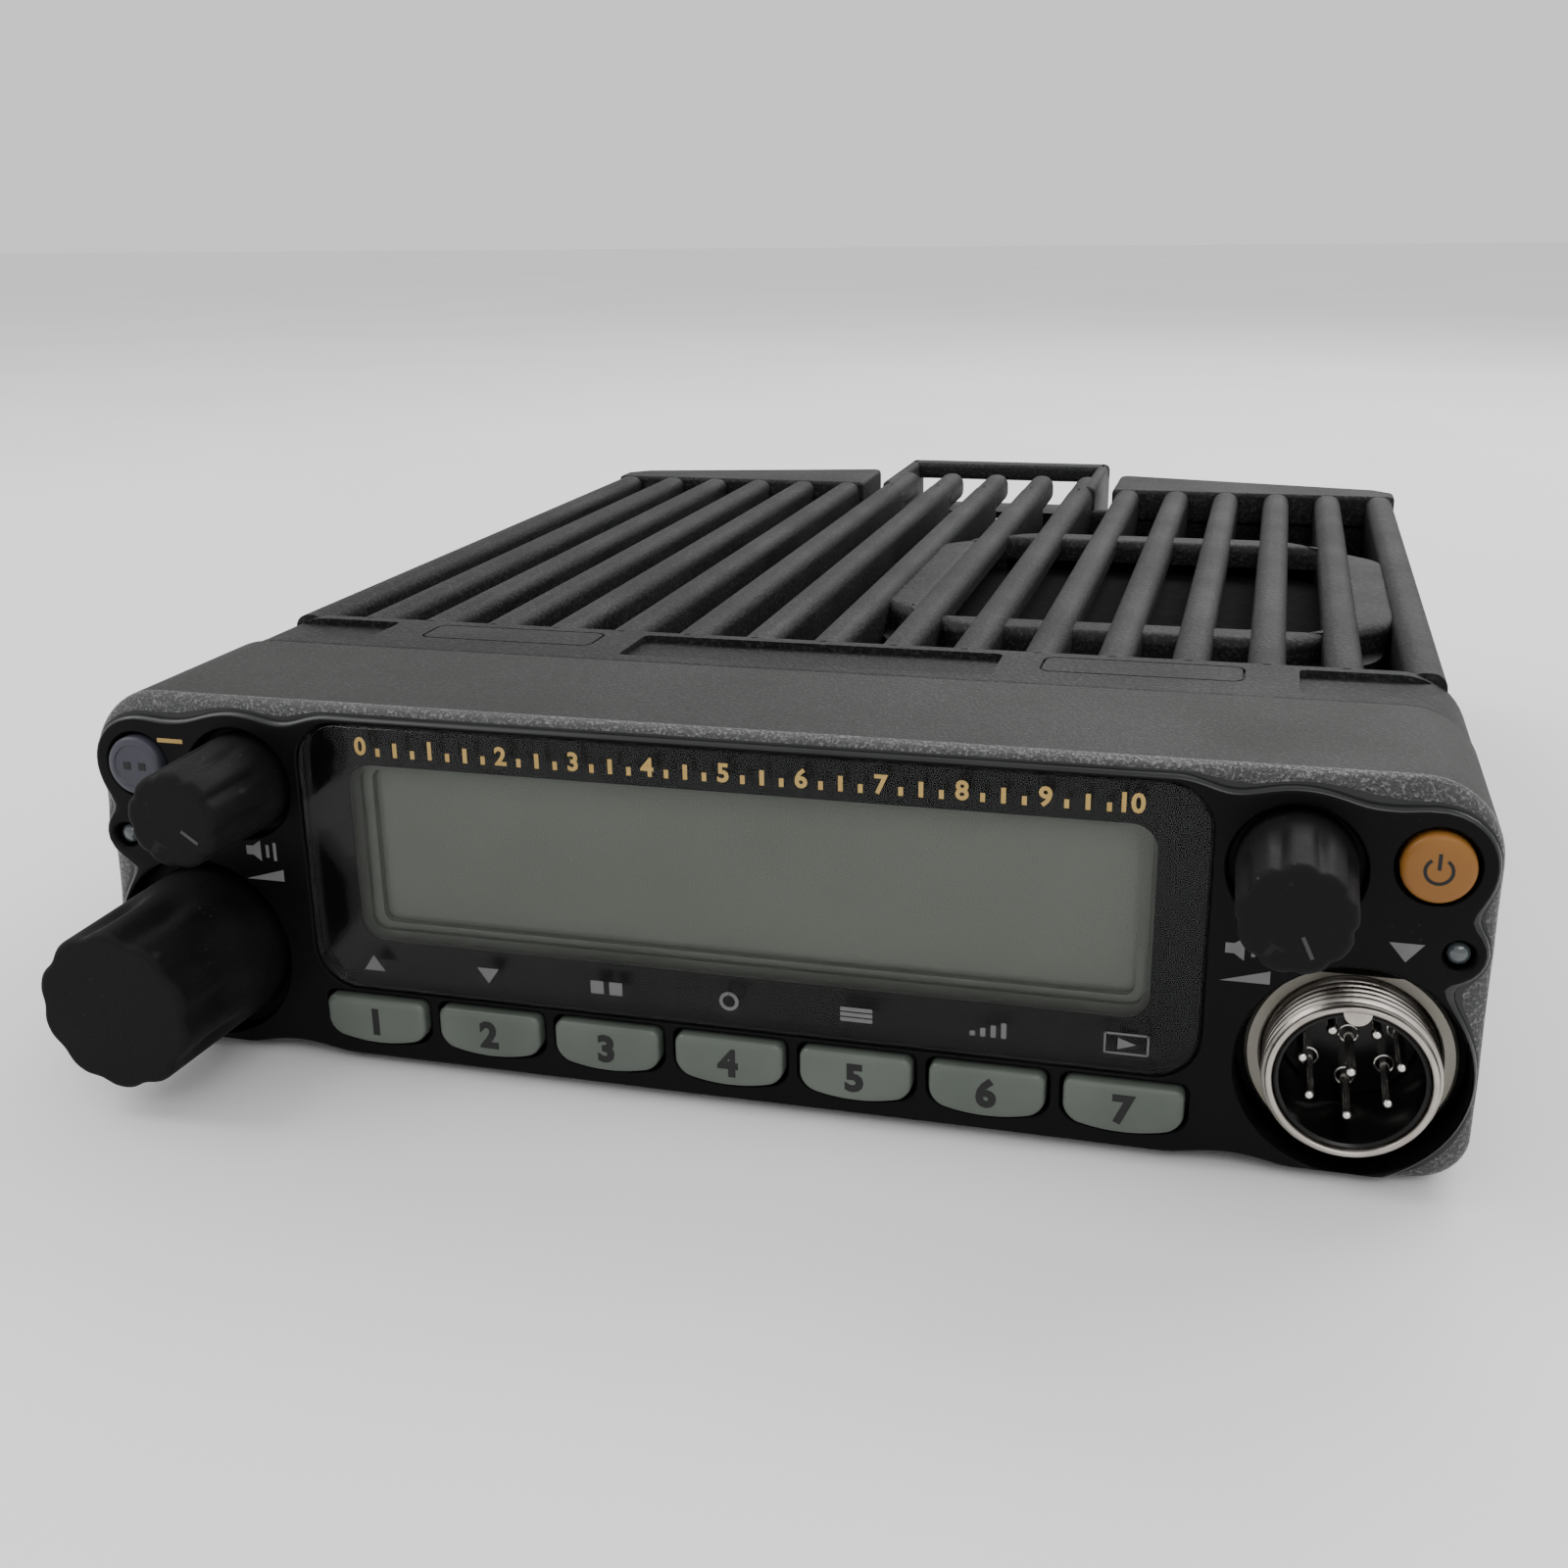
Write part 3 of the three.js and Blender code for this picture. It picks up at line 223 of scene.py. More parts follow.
def applied(obj):
    """The object with its modifiers made real."""
    dg = bpy.context.evaluated_depsgraph_get()
    mesh = bpy.data.meshes.new_from_object(obj.evaluated_get(dg), depsgraph=dg)
    obj.modifiers.clear()
    old = obj.data
    obj.data = mesh
    bpy.data.meshes.remove(old)
    return obj


def boolean(obj, tool, operation):
    mod = obj.modifiers.new("boolean", "BOOLEAN")
    mod.object, mod.operation, mod.solver = tool, operation, "EXACT"
    applied(obj)
    bpy.data.objects.remove(tool)
    return obj


def cut(obj, *solids):
    for solid in solids:
        boolean(obj, work("tool", solid), "DIFFERENCE")
    return obj


def rounded(obj, width, segments=3, angle=35):
    mod = obj.modifiers.new("bevel", "BEVEL")
    mod.width, mod.segments = width, segments
    mod.limit_method, mod.angle_limit = "ANGLE", math.radians(angle)
    mod.use_clamp_overlap = True
    return applied(obj)


def settled(obj, materials, body=BODY, instead_of=None, sharp=32, weighted=True):
    """The finished piece: in metres, in its place, shaded, painted and riding on its body."""
    mesh = obj.data
    slots = np.zeros(len(mesh.polygons), np.int32)
    mesh.polygons.foreach_get("material_index", slots)
    mesh.materials.clear()
    for m in materials if isinstance(materials, (list, tuple)) else [materials]:
        mesh.materials.append(m)
    mesh.polygons.foreach_set("material_index", np.minimum(slots, len(mesh.materials) - 1))
    mesh.shade_smooth()
    mesh.set_sharp_from_angle(angle=math.radians(sharp))
    if weighted:
        mod = obj.modifiers.new("normals", "WEIGHTED_NORMAL")
        mod.keep_sharp = True
        applied(obj)
    obj.data.transform(Matrix.Translation((0, FACE_Y, 0)) @ Matrix.Scale(MM, 4))
    obj.data.update()
    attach(obj, body)
    if instead_of:
        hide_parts(instead_of)
    print(obj.name, len(obj.data.polygons), "faces on", body)
    return obj


def finished(name, solid, material, **options):
    """One solid, or a list of them, made into a finished piece."""
    return settled(work(name, *(solid if isinstance(solid, list) else [solid])), material, **options)


# %% [markdown]
# ## Finishes
# The real radio has very few finishes: a finely grained dark plastic, black paint on cast metal,
# rubber, worn nickel, printed ink and glass. Their common effects, grain, mottling, dust and worn
# edges, are node groups, so that each material only sets its own amounts.

# %% Node helpers


def wire(tree, value, slot):
    """Links a node's output to an input, or sets the input to a plain value."""
    if isinstance(value, bpy.types.NodeSocket):
        tree.links.new(value, slot)
    else:
        slot.default_value = value


def add(tree, kind, **inputs):
    """A node with inputs linked or set by name; an underscore stands for a space in the name."""
    node = tree.nodes.new(kind)
    for key, value in inputs.items():
        wire(tree, value, node.inputs[key.replace("_", " ")])
    return node


def maths(tree, operation, first, second, clamp=False):
    node = tree.nodes.new("ShaderNodeMath")
    node.operation, node.use_clamp = operation, clamp
    wire(tree, first, node.inputs[0])
    wire(tree, second, node.inputs[1])
    return node.outputs[0]


def blend(tree, factor, first, second):
    """The colour between two colours."""
    mix = tree.nodes.new("ShaderNodeMix")
    mix.data_type = "RGBA"
    for key, value in (("Factor", factor), ("A", first), ("B", second)):
        wire(tree, value, mix.inputs[key])
    return mix.outputs["Result"]


def ranged(tree, value, **limits):
    return add(tree, "ShaderNodeMapRange", Value=value, **limits).outputs["Result"]


def shader_group(name, inputs, outputs):
    """A node group, what it is given and what it gives."""
    group = bpy.data.node_groups.new(name, "ShaderNodeTree")
    for label, kind, value in inputs:
        socket = group.interface.new_socket(label, in_out="INPUT", socket_type=kind)
        if value is not None:
            socket.default_value = value
    for label, kind in outputs:
        group.interface.new_socket(label, in_out="OUTPUT", socket_type=kind)
    given, gives = group.nodes.new("NodeGroupInput"), group.nodes.new("NodeGroupOutput")
    return group, given.outputs, gives.inputs


FLOAT, COLOUR, VECTOR = "NodeSocketFloat", "NodeSocketColor", "NodeSocketVector"
PLACE = ("Vector", VECTOR, None)

# %% Grain: the spark-eroded texture of moulded plastic and cast paint, and the peaks that finishes light as painted glints
grain, given, gives = shader_group(
    "grain",
    [PLACE, ("Scale", FLOAT, 3000.0), ("Depth", FLOAT, 0.2), ("Relief", FLOAT, 0.0001)],
    [("Normal", VECTOR), ("Mask", FLOAT)],
)
noise = add(grain, "ShaderNodeTexNoise", Vector=given["Vector"], Scale=given["Scale"], Detail=3.0,
            Roughness=0.6).outputs["Fac"]
bump = add(grain, "ShaderNodeBump", Height=noise, Strength=given["Depth"], Distance=given["Relief"])
wire(grain, bump.outputs["Normal"], gives["Normal"])
# The mask picks the grain's peaks; finishes lighten them as painted glints.
wire(grain, ranged(grain, noise, From_Min=0.5, From_Max=0.66), gives["Mask"])

# %% Mottle: slow changes of tone from handling and moulding
mottle, given, gives = shader_group(
    "mottle",
    [PLACE, ("Scale", FLOAT, 60.0), ("Dark", COLOUR, (0.01, 0.01, 0.01, 1)),
     ("Light", COLOUR, (0.03, 0.03, 0.03, 1))],
    [("Color", COLOUR), ("Mask", FLOAT)],
)
noise = add(mottle, "ShaderNodeTexNoise", Vector=given["Vector"], Scale=given["Scale"], Detail=5.0)
patches = ranged(mottle, noise.outputs["Fac"], From_Min=0.32, From_Max=0.68)
wire(mottle, blend(mottle, patches, given["Dark"], given["Light"]), gives["Color"])
wire(mottle, patches, gives["Mask"])

# %% Dust: pale specks and film on faces that look up
dust, given, gives = shader_group(
    "dust",
    [PLACE, ("Speck Scale", FLOAT, 900.0), ("Amount", FLOAT, 0.3)],
    [("Mask", FLOAT)],
)
specks = add(dust, "ShaderNodeTexVoronoi", Vector=given["Vector"], Scale=given["Speck Scale"])
near = ranged(dust, specks.outputs["Distance"], From_Min=0.16, From_Max=0.04)
film = add(dust, "ShaderNodeTexNoise", Vector=given["Vector"], Scale=140.0, Detail=6.0)
patches = ranged(dust, film.outputs["Fac"], From_Min=0.45, From_Max=0.75)
normal = add(dust, "ShaderNodeNewGeometry").outputs["Normal"]
upward = add(dust, "ShaderNodeSeparateXYZ", Vector=normal).outputs["Z"]
facing_up = ranged(dust, upward, From_Min=-0.2, From_Max=0.9, To_Min=0.25)
lying = maths(dust, "MULTIPLY", maths(dust, "MULTIPLY", near, patches), facing_up)
wire(dust, maths(dust, "MULTIPLY", lying, given["Amount"]), gives["Mask"])

# %% Edge wear: corners rubbed paler, broken up by noise
wear, given, gives = shader_group(
    "edge_wear",
    [PLACE, ("Amount", FLOAT, 0.3)],
    [("Mask", FLOAT)],
)
pointiness = add(wear, "ShaderNodeNewGeometry").outputs["Pointiness"]
corner = ranged(wear, pointiness, From_Min=0.52, From_Max=0.62)
broken = add(wear, "ShaderNodeTexNoise", Vector=given["Vector"], Scale=400.0, Detail=4.0)
rubbed = maths(wear, "MULTIPLY", corner, broken.outputs["Fac"])
wire(wear, maths(wear, "MULTIPLY", rubbed, given["Amount"]), gives["Mask"])
print("effects:", [g.name for g in bpy.data.node_groups])

# %% [markdown]
# ### One recipe for solid finishes
# A finish mixes two tones, lays dust and wear over them, paints glints by lightening the grain's peaks,
# lets the roughness follow the mottling and bumps the surface with grain. Numbers that are the same all
# over go straight to the shader.

# %% The finish recipe


DUST_TONE = (0.42, 0.41, 0.39)


def new_material(name):
    material = bpy.data.materials.new(name)
    material.use_nodes = True
    tree = material.node_tree
    return material, tree, add(tree, "ShaderNodeTexCoord").outputs["Object"]


def finish(name, dark, light, rough=(0.4, 0.6), grain_scale=3000.0, grain_depth=0.2,
           mottle_scale=60.0, metallic=0.0, coat=0.0, dusty=0.0, worn=0.0, worn_tone=(0.3, 0.3, 0.3),
           specular=0.5, relief=0.0001, painted_glint=0.0):
    material, tree, where = new_material(name)
    shader = tree.nodes["Principled BSDF"]

    def placed(group, **values):
        node = tree.nodes.new("ShaderNodeGroup")
        node.node_tree = group
        for key, value in {"Vector": where, **values}.items():
            wire(tree, value, node.inputs[key])
        return node.outputs

    tone = placed(mottle, Scale=mottle_scale, Dark=(*dark, 1), Light=(*light, 1))
    colour = tone["Color"]
    for group, amount, over in ((wear, worn, worn_tone), (dust, dusty, DUST_TONE)):
        if amount:
            colour = blend(tree, placed(group, Amount=amount)["Mask"], colour, (*over, 1))
    dull = ranged(tree, tone["Mask"], To_Min=rough[0], To_Max=rough[1])
    if grain_depth:
        skin = placed(grain, Scale=grain_scale, Depth=grain_depth, Relief=relief)
        wire(tree, skin["Normal"], shader.inputs["Normal"])
        # painted glints: the grain's peaks are lightened in the base colour
        if painted_glint:
            colour = blend(tree, skin["Mask"], colour, (painted_glint, painted_glint, painted_glint, 1))
    for key, value in (("Base Color", colour), ("Roughness", dull), ("Metallic", metallic),
                       ("Coat Weight", coat), ("Specular IOR Level", specular)):
        wire(tree, value, shader.inputs[key])
    return material


def grey(value):
    return (value, value, value)


def ink(name, dark, light, rough=(0.5, 0.6)):
    return finish(name, dark, light, rough, 4000, 0.0, 300, specular=0.3)


# %% The finishes
# The head's top, its rim and the cast paint carry painted glints: grain peaks lightened in the base
# colour.
head_grain = finish("head_grain", (0.0150, 0.0147, 0.0140), (0.0215, 0.0210, 0.0198), (0.55, 0.68),
                    3300, 0.8, dusty=0.15, specular=0.22, relief=0.0002, painted_glint=0.042)
# The rim is a real coarse grain; its strong flecks are painted glints for the grain's sparkle.
rim_grain_and_glint = finish("rim_grain_and_glint", (0.0085, 0.0088, 0.0090), (0.0150, 0.0157, 0.0162), (0.3, 0.44),
                   3000, 1.0, dusty=0.15, specular=0.7, relief=0.0004, painted_glint=0.13)
face_plastic = finish("face_plastic", (0.0012, 0.0012, 0.0013), (0.0026, 0.0026, 0.0028),
                      (0.4, 0.52), 3500, 0.1, dusty=0.08, specular=0.1)
bead_plastic = finish("bead_plastic", (0.006, 0.0062, 0.0068), (0.011, 0.0115, 0.0122),
                      (0.26, 0.36), 3500, 0.0, specular=0.4)
cast_paint = finish("cast_paint", (0.0048, 0.0050, 0.0054), (0.0100, 0.0103, 0.0110), (0.5, 0.64),
                    2000, 0.6, dusty=0.2, worn=0.3, worn_tone=(0.05, 0.05, 0.051), specular=0.16,
                    relief=0.00025, painted_glint=0.03)
sheet_paint = finish("sheet_paint", (0.005, 0.005, 0.0054), (0.009, 0.009, 0.0096), (0.42, 0.54),
                     3200, 0.15, dusty=0.1, specular=0.2)
knob_rubber = finish("knob_rubber", (0.0016, 0.0016, 0.0018), (0.0046, 0.0046, 0.0048), (0.62, 0.78),
                     2200, 0.5, 160, dusty=0.12, worn=0.6, worn_tone=grey(0.03), specular=0.16)
key_plastic = finish("key_plastic", (0.066, 0.078, 0.066), (0.088, 0.102, 0.088), (0.28, 0.38),
                     4000, 0.0, 90, specular=0.45)
amber_plastic = finish("amber_plastic", (0.20, 0.082, 0.014), (0.25, 0.108, 0.02), (0.34, 0.46),
                       4000, 0.0, 120, specular=0.3)
violet_plastic = finish("violet_plastic", (0.032, 0.033, 0.045), (0.045, 0.046, 0.060),
                        (0.34, 0.46), 4000, 0.0, 120, specular=0.3)
lamp_plastic = finish("lamp_plastic", (0.035, 0.045, 0.048), (0.06, 0.07, 0.075), (0.1, 0.18),
                      3000, 0.02, coat=0.6)
thread_nickel = finish("thread_nickel", (0.36, 0.325, 0.29), (0.56, 0.53, 0.49), (0.26, 0.44),
                       2500, 0.2, 300, metallic=1.0, worn=0.5, worn_tone=(0.32, 0.24, 0.19))
nut_nickel = finish("nut_nickel", (0.26, 0.25, 0.21), (0.36, 0.34, 0.30), (0.4, 0.56), 2600, 0.2,
                    200, metallic=0.9)
pin_silver = finish("pin_silver", (0.60, 0.58, 0.54), (0.82, 0.80, 0.76), (0.14, 0.26), 3000, 0.05,
                    600, metallic=1.0)
insulator = finish("insulator", grey(0.0016), grey(0.003), (0.16, 0.24), 3000, 0.0, specular=0.25)
screw_steel = finish("screw_steel", grey(0.42), grey(0.6), (0.25, 0.4), 2500, 0.1, 400, metallic=1.0)
tin_plate = finish("tin_plate", (0.48, 0.48, 0.47), (0.62, 0.62, 0.61), (0.28, 0.42), 1500, 0.1,
                   150, metallic=1.0)
board_green = finish("board_green", (0.012, 0.055, 0.022), (0.02, 0.08, 0.032), (0.3, 0.4), 1800,
                     0.2, 220, coat=0.3)
black_plastic = finish("black_plastic", grey(0.004), grey(0.008), (0.4, 0.54), 2800, 0.2,
                       specular=0.25)
pale_plastic = finish("pale_plastic", (0.52, 0.50, 0.44), (0.60, 0.58, 0.52), (0.4, 0.5), 2800, 0.1)
mat_rubber = finish("mat_rubber", (0.10, 0.10, 0.095), (0.14, 0.14, 0.13), (0.55, 0.7), 2500, 0.2)
paper_cone = finish("paper_cone", (0.010, 0.009, 0.008), (0.018, 0.017, 0.016), (0.8, 0.95), 1200, 0.6)
foam = finish("foam", grey(0.0025), grey(0.008), (0.85, 1.0), 900, 1.0, 700, specular=0.1)
gold_ink = ink("gold_ink", (0.36, 0.23, 0.065), (0.43, 0.29, 0.09), (0.4, 0.5))
white_ink = ink("white_ink", grey(0.11), grey(0.15))
grey_ink = ink("grey_ink", grey(0.10), grey(0.14))
line_ink = ink("line_ink", grey(0.03), grey(0.05))
dark_ink = ink("dark_ink", (0.006, 0.007, 0.006), (0.011, 0.012, 0.011))
border_ink = finish("border_ink", (0.0006, 0.0006, 0.0007), (0.0014, 0.0014, 0.0015), (0.3, 0.4),
                    3000, 0.0, 40, specular=0.08)
print(len(bpy.data.materials), "materials")

# %% [markdown]
# ### Glass over a grey-green display
# The window is clear acrylic: it lets light through, and reflects more the flatter it is seen, with a
# little haze from handling.
# The cell behind it is a flat pane whose tone changes slowly, as an unpowered liquid crystal does.

# %% Window and cell
window_clear, tree, where = new_material("window_clear")
tree.nodes.remove(tree.nodes["Principled BSDF"])
through = add(tree, "ShaderNodeBsdfTransparent", Color=(0.95, 0.96, 0.95, 1))
haze = add(tree, "ShaderNodeTexNoise", Vector=where, Scale=90.0, Detail=4.0)
gloss = add(tree, "ShaderNodeBsdfGlossy",
            Roughness=ranged(tree, haze.outputs["Fac"], To_Min=0.02, To_Max=0.12))
edge_on = add(tree, "ShaderNodeFresnel", IOR=1.22)
both = add(tree, "ShaderNodeMixShader", Fac=edge_on.outputs["Fac"])
wire(tree, through.outputs["BSDF"], both.inputs[1])
wire(tree, gloss.outputs["BSDF"], both.inputs[2])
wire(tree, both.outputs["Shader"], tree.nodes["Material Output"].inputs["Surface"])
cell_grey = finish("cell_grey", (0.120, 0.126, 0.109), (0.142, 0.148, 0.130), (0.16, 0.24), 5000,
                   0.0, 25, specular=0.2)
cell_edge = finish("cell_edge", (0.058, 0.061, 0.052), (0.078, 0.081, 0.071), (0.3, 0.4), 4000,
                   0.0, 80, specular=0.2)
cell_seal = finish("cell_seal", (0.10, 0.105, 0.092), (0.125, 0.13, 0.115), (0.4, 0.5), 4000,
                   0.0, 80, specular=0.2)

# %% [markdown]
# ## The head shell
# The front face isn't a plain rectangle: it is the outline left when a circle round each control, an
# arch over the window and a flat band melt together. A smooth union of their distances gives that
# outline, and each ring point marches outwards until it meets it.

# %% The face's outline as a distance
KNOB, DIAL, LAMP = (middle_mm(n) for n in ("sub_volume_control", "dial_encoder", "sub_receive_lamp"))
BUTTON = Vector((HALF - 5.5, 0, head_high.z - 7.7))
SOCKET = middle_mm("mic_socket_shell")
MELT, OUTLINE_SHIFT = 1.6, 0.35
ROUND_REACH = ((BUTTON, 5.15), (LAMP, 2.4), (SOCKET, 10.75), (KNOB, 7.3))
BAND_BOTTOM = 2.1
BANDS = ((47.2, lens_high.z + 0.5, 5.5), (62.0, 36.0, 3.0))  # half width, top, corner


def box_distance(x, z, x0, x1, z0, z1, r):
    qx = abs(x - (x0 + x1) / 2) - (x1 - x0) / 2 + r
    qz = abs(z - (z0 + z1) / 2) - (z1 - z0) / 2 + r
    return math.hypot(max(qx, 0), max(qz, 0)) + min(max(qx, qz), 0) - r


def face_distance(x, z):
    parts = [math.hypot(abs(x) - c.x, z - c.z) - reach for c, reach in ROUND_REACH]
    parts += [box_distance(x, z, -w, w, BAND_BOTTOM, top, r) for w, top, r in BANDS]
    return -MELT * math.log(sum(math.exp(-d / MELT) for d in parts)) + OUTLINE_SHIFT


# %% Rings of the shell
RING_POINTS = 420
UPPER_R, LOWER_R = 7.4, 4.5


def casing_outline(inset, steps=16):
    """The outside of the head, drawn in by the inset."""
    return box_outline(head_low, head_high, inset, UPPER_R - inset, LOWER_R - inset, steps)


def between_rings(first, second, share):
    return [(a[0] + (b[0] - a[0]) * share, a[1] + (b[1] - a[1]) * share)
            for a, b in zip(first, second)]


outer = spread(casing_outline(0.0), RING_POINTS)
core = rounded_outline(-HALF + 15, HALF - 15, head_low.z + 13, head_high.z - 13, 4, 3, 16)
inner = spread(core, RING_POINTS)


def marched(level, room):
    """Ring points where the face distance reaches the level, at least `room` inside the outside."""
    ring = []
    for (ax, az), (bx, bz) in zip(inner, outer):
        low, high = 0.0, 1.0 - room / math.hypot(bx - ax, bz - az)
        if face_distance(ax + (bx - ax) * high, az + (bz - az) * high) > level:
            for _ in range(26):
                t = (low + high) / 2
                inside = face_distance(ax + (bx - ax) * t, az + (bz - az) * t) < level
                low, high = (t, high) if inside else (low, t)
        ring.append((ax + (bx - ax) * high, az + (bz - az) * high))
    return ring


# Each ring of the bead is (level of the outline, y, room to the outside).
bead = [(-1.2, 0.0, 0.9), (-0.25, 0.0, 0.62), (0.02, 0.05, 0.5), (0.22, 0.22, 0.4),
        (0.32, 0.5, 0.3), (0.36, 0.85, 0.24)]
rings = [at_y(marched(level, room), y) for level, y, room in bead]
crease = marched(0.36, 0.24)
RIM_STEPS, RIM_FRONT, RIM_BACK = 7, 0.85, 2.2
for i in range(1, RIM_STEPS + 1):
    t = i / RIM_STEPS * math.pi / 2
    y = RIM_FRONT + (RIM_BACK - RIM_FRONT) * (1 - math.cos(t))
    rings.append(at_y(between_rings(crease, outer, math.sin(t)), y))
trimmed = spread(casing_outline(0.3), RING_POINTS)
rings += [at_y(outer, head_high.y - 0.35), at_y(trimmed, head_high.y)]
FACE, BEAD, RIM, TOP = 0, 1, 2, 3
slots = [FACE] + [BEAD] * 5 + [RIM] * (RIM_STEPS - 1) + [TOP, TOP]
shell = work("head_shell_fine", loft(rings, slots))
shell_finishes = [face_plastic, bead_plastic, rim_grain_and_glint, head_grain]
for material in shell_finishes:
    shell.data.materials.append(material)
print("shell rings", len(rings))

# %% [markdown]
# ### Openings in the shell
# Each opening is cut with a tool that is a little wider at its mouth, so that the edge comes out
# rounded, as a moulded edge is.

# %% Key outline, window and round tools
KEY_NAMES = [f"key_{i}" for i in range(1, 8)]
key_middles = [middle_mm(n) for n in KEY_NAMES]
KEY_PITCH = key_middles[1].x - key_middles[0].x
KEY_W, KEY_H, KEY_Z = KEY_PITCH - 1.66, 4.9, 5.75
KEY_UPPER_R, KEY_LOWER_R, KEY_BOW = 0.95, 1.45, 0.95


def key_outline(grow):
    """Straight top with small corners, and a lower edge with softer corners that bows down."""
    w, top, bottom = KEY_W / 2 + grow, KEY_H / 2 + grow, -KEY_H / 2 + 0.75 - grow
    outline = rounded_outline(-w, w, bottom, top, KEY_UPPER_R, KEY_LOWER_R, 7)
    flat, points = 2 * w - 2 * KEY_LOWER_R, 14
    lower = [(-w + KEY_LOWER_R + flat * i / points, bottom) for i in range(1, points)]
    outline = outline[-1:] + lower + outline[:-1]
    height = top - bottom
    return [(x, z - KEY_BOW * (1 - (x / w) ** 2) * max(0.0, (top - z) / height) ** 2)
            for x, z in outline]


def mouth(outline_of, depth, lip=0.25):
    """A cutting tool: outline_of(grow) swept back, with a rounded mouth."""
    stations = [(-2, lip * 1.6), (0.0, lip), (lip * 0.3, lip * 0.45), (lip, 0.0), (depth, 0.0)]
    return loft([at_y(outline_of(grow), y) for y, grow in stations])


def moved(solid, x=0.0, y=0.0, z=0.0):
    verts, faces, slots = solid
    return [(a + x, b + y, c + z) for a, b, c in verts], faces, slots


def round_mouth(radius, x, z, depth, lip=0.3, segments=72):
    return mouth(lambda grow: circle(radius + grow, segments, x, z), depth, lip)


PANEL = 2.9
cavity = box_outline(head_low, head_high, 2, 5.4, 2.5)
cut(shell, prism_y(cavity, PANEL, head_high.y + 1))
SMALL_WELL, DIAL_WELL, SOCKET_WELL = 5.9, 10.0, 10.3
wells = [(-KNOB.x, KNOB.z, SMALL_WELL, 2.0), (KNOB.x, KNOB.z, SMALL_WELL, 2.0),
         (DIAL.x, DIAL.z, DIAL_WELL, 2.4), (SOCKET.x, SOCKET.z, SOCKET_WELL, 5.2)]
room = casing_outline(0.5, steps=8)
for x, z, radius, depth in wells:
    boss = work("boss", rod_y(radius + 1.4, PANEL - 0.3, depth + 1.6, x, z))
    boolean(boss, work("room", prism_y(room, 0, 20)), "INTERSECT")
    boolean(shell, boss, "UNION")
for x, z, radius, depth in wells:
    cut(shell, round_mouth(radius, x, z, depth, 0.35))
    hole = 8.2 if radius == SOCKET_WELL else 3.9
    cut(shell, rod_y(hole, -1, 9, x, z))
print("wells cut", len(shell.data.polygons))

# %% Window, keys, buttons and lamps
LENS_R = 4.5


def lens_pocket(grow):
    return box_outline(lens_low, lens_high, -grow - 0.15, LENS_R + grow)


cut(shell, mouth(lens_pocket, lens_high.y + 0.3, 0.2))
opening = rounded_outline(lens_low.x + 1.8, lens_high.x - 1.8, lens_low.z + 1.8, lens_high.z - 1.2, 2.7)
cut(shell, prism_y(opening, -1, PANEL + 1))
for m in key_middles:
    cut(shell, moved(mouth(lambda grow: key_outline(grow + 0.28), PANEL + 1, 0.22), x=m.x, z=KEY_Z))
for side in (-1, 1):
    cut(shell, round_mouth(3.5, side * BUTTON.x, BUTTON.z, PANEL + 1))
    cut(shell, round_mouth(1.3, side * LAMP.x, LAMP.z, PANEL + 1, 0.45, 32))
FLAT_FRONT = 0.06  # walls cut into the flat front keep its finish
for face in shell.data.polygons:
    if max(shell.data.vertices[v].co.y for v in face.vertices) < FLAT_FRONT:
        face.material_index = FACE
settled(shell, shell_finishes, instead_of="head_shell", sharp=38)

# %% [markdown]
# ## The display
# The window is a flat acrylic pane with its edge broken. Its border is printed black from behind,
# and the cell sits a few millimetres deeper, so stepped frames show round it at an angle.

# %% Window pane and printed border
pane_rings = [at_y(box_outline(lens_low, lens_high, -grow, LENS_R + grow, steps=10), y)
              for grow, y in ((-0.22, 0.0), (0.0, 0.22), (0.0, lens_high.y))]
finished("display_window", loft(pane_rings), window_clear, instead_of="display_lens")


def frame_solid(x_out, z_out, r_out, x_in, z_in, r_in, y0, y1):
    """A flat frame: outer and inner are half width, (bottom, top) and corner."""
    a = rounded_outline(-x_out, x_out, *z_out, r_out, steps=10)
    b = rounded_outline(-x_in, x_in, *z_in, r_in, steps=10)
    return loft([at_y(a, y0), at_y(a, y1), at_y(b, y1), at_y(b, y0)], looped=True)


CLEAR_X, CLEAR_Z, CLEAR_R = 40.7, (14.1, 33.5), 2.5
border = frame_solid(lens_high.x - 0.3, (lens_low.z + 0.3, lens_high.z - 0.3), LENS_R - 0.3,
                     CLEAR_X, CLEAR_Z, CLEAR_R, lens_high.y + 0.04, lens_high.y + 0.16)
finished("window_border", border, border_ink)

# %% Cell, its glass edge and the frames round it
cell_low, cell_high = box_mm("lcd_panel")
cell_rings = [at_y(box_outline(cell_low, cell_high, inset, 0.8), y)
              for inset, y in ((0.25, cell_low.y), (0.0, cell_low.y + 0.25), (0.0, cell_high.y))]
finished("lcd_cell", loft(cell_rings), cell_grey, instead_of="lcd_panel")
# Each frame is its outer and inner half width, heights and corner, its two depths and its finish.
cell_frames = {
    "cell_frame_outer": (CLEAR_X + 2.6, (12.9, 34.9), 1.5, CLEAR_X + 0.35, (13.9, 33.75), 2.3,
                         1.75, 2.6, cell_edge),
    "cell_frame_inner": (CLEAR_X + 1.6, (13.0, 34.6), 1.5, CLEAR_X - 0.5, (14.8, 33.0), 1.6,
                         2.8, 3.4, cell_edge),
    "cell_gasket": (CLEAR_X + 1.4, (13.1, 34.5), 1.2, CLEAR_X - 1.5, (15.4, 32.4), 1.2,
                    3.6, 4.5, cell_seal),
}
for name, (*sizes, material) in cell_frames.items():
    finished(name, frame_solid(*sizes), material)

# %% [markdown]
# ## Keys and round buttons
# The seven keys are one moulding repeated: a straight top edge, a bowed lower edge and a crowned
# front with a soft bevel. The round buttons are turned.

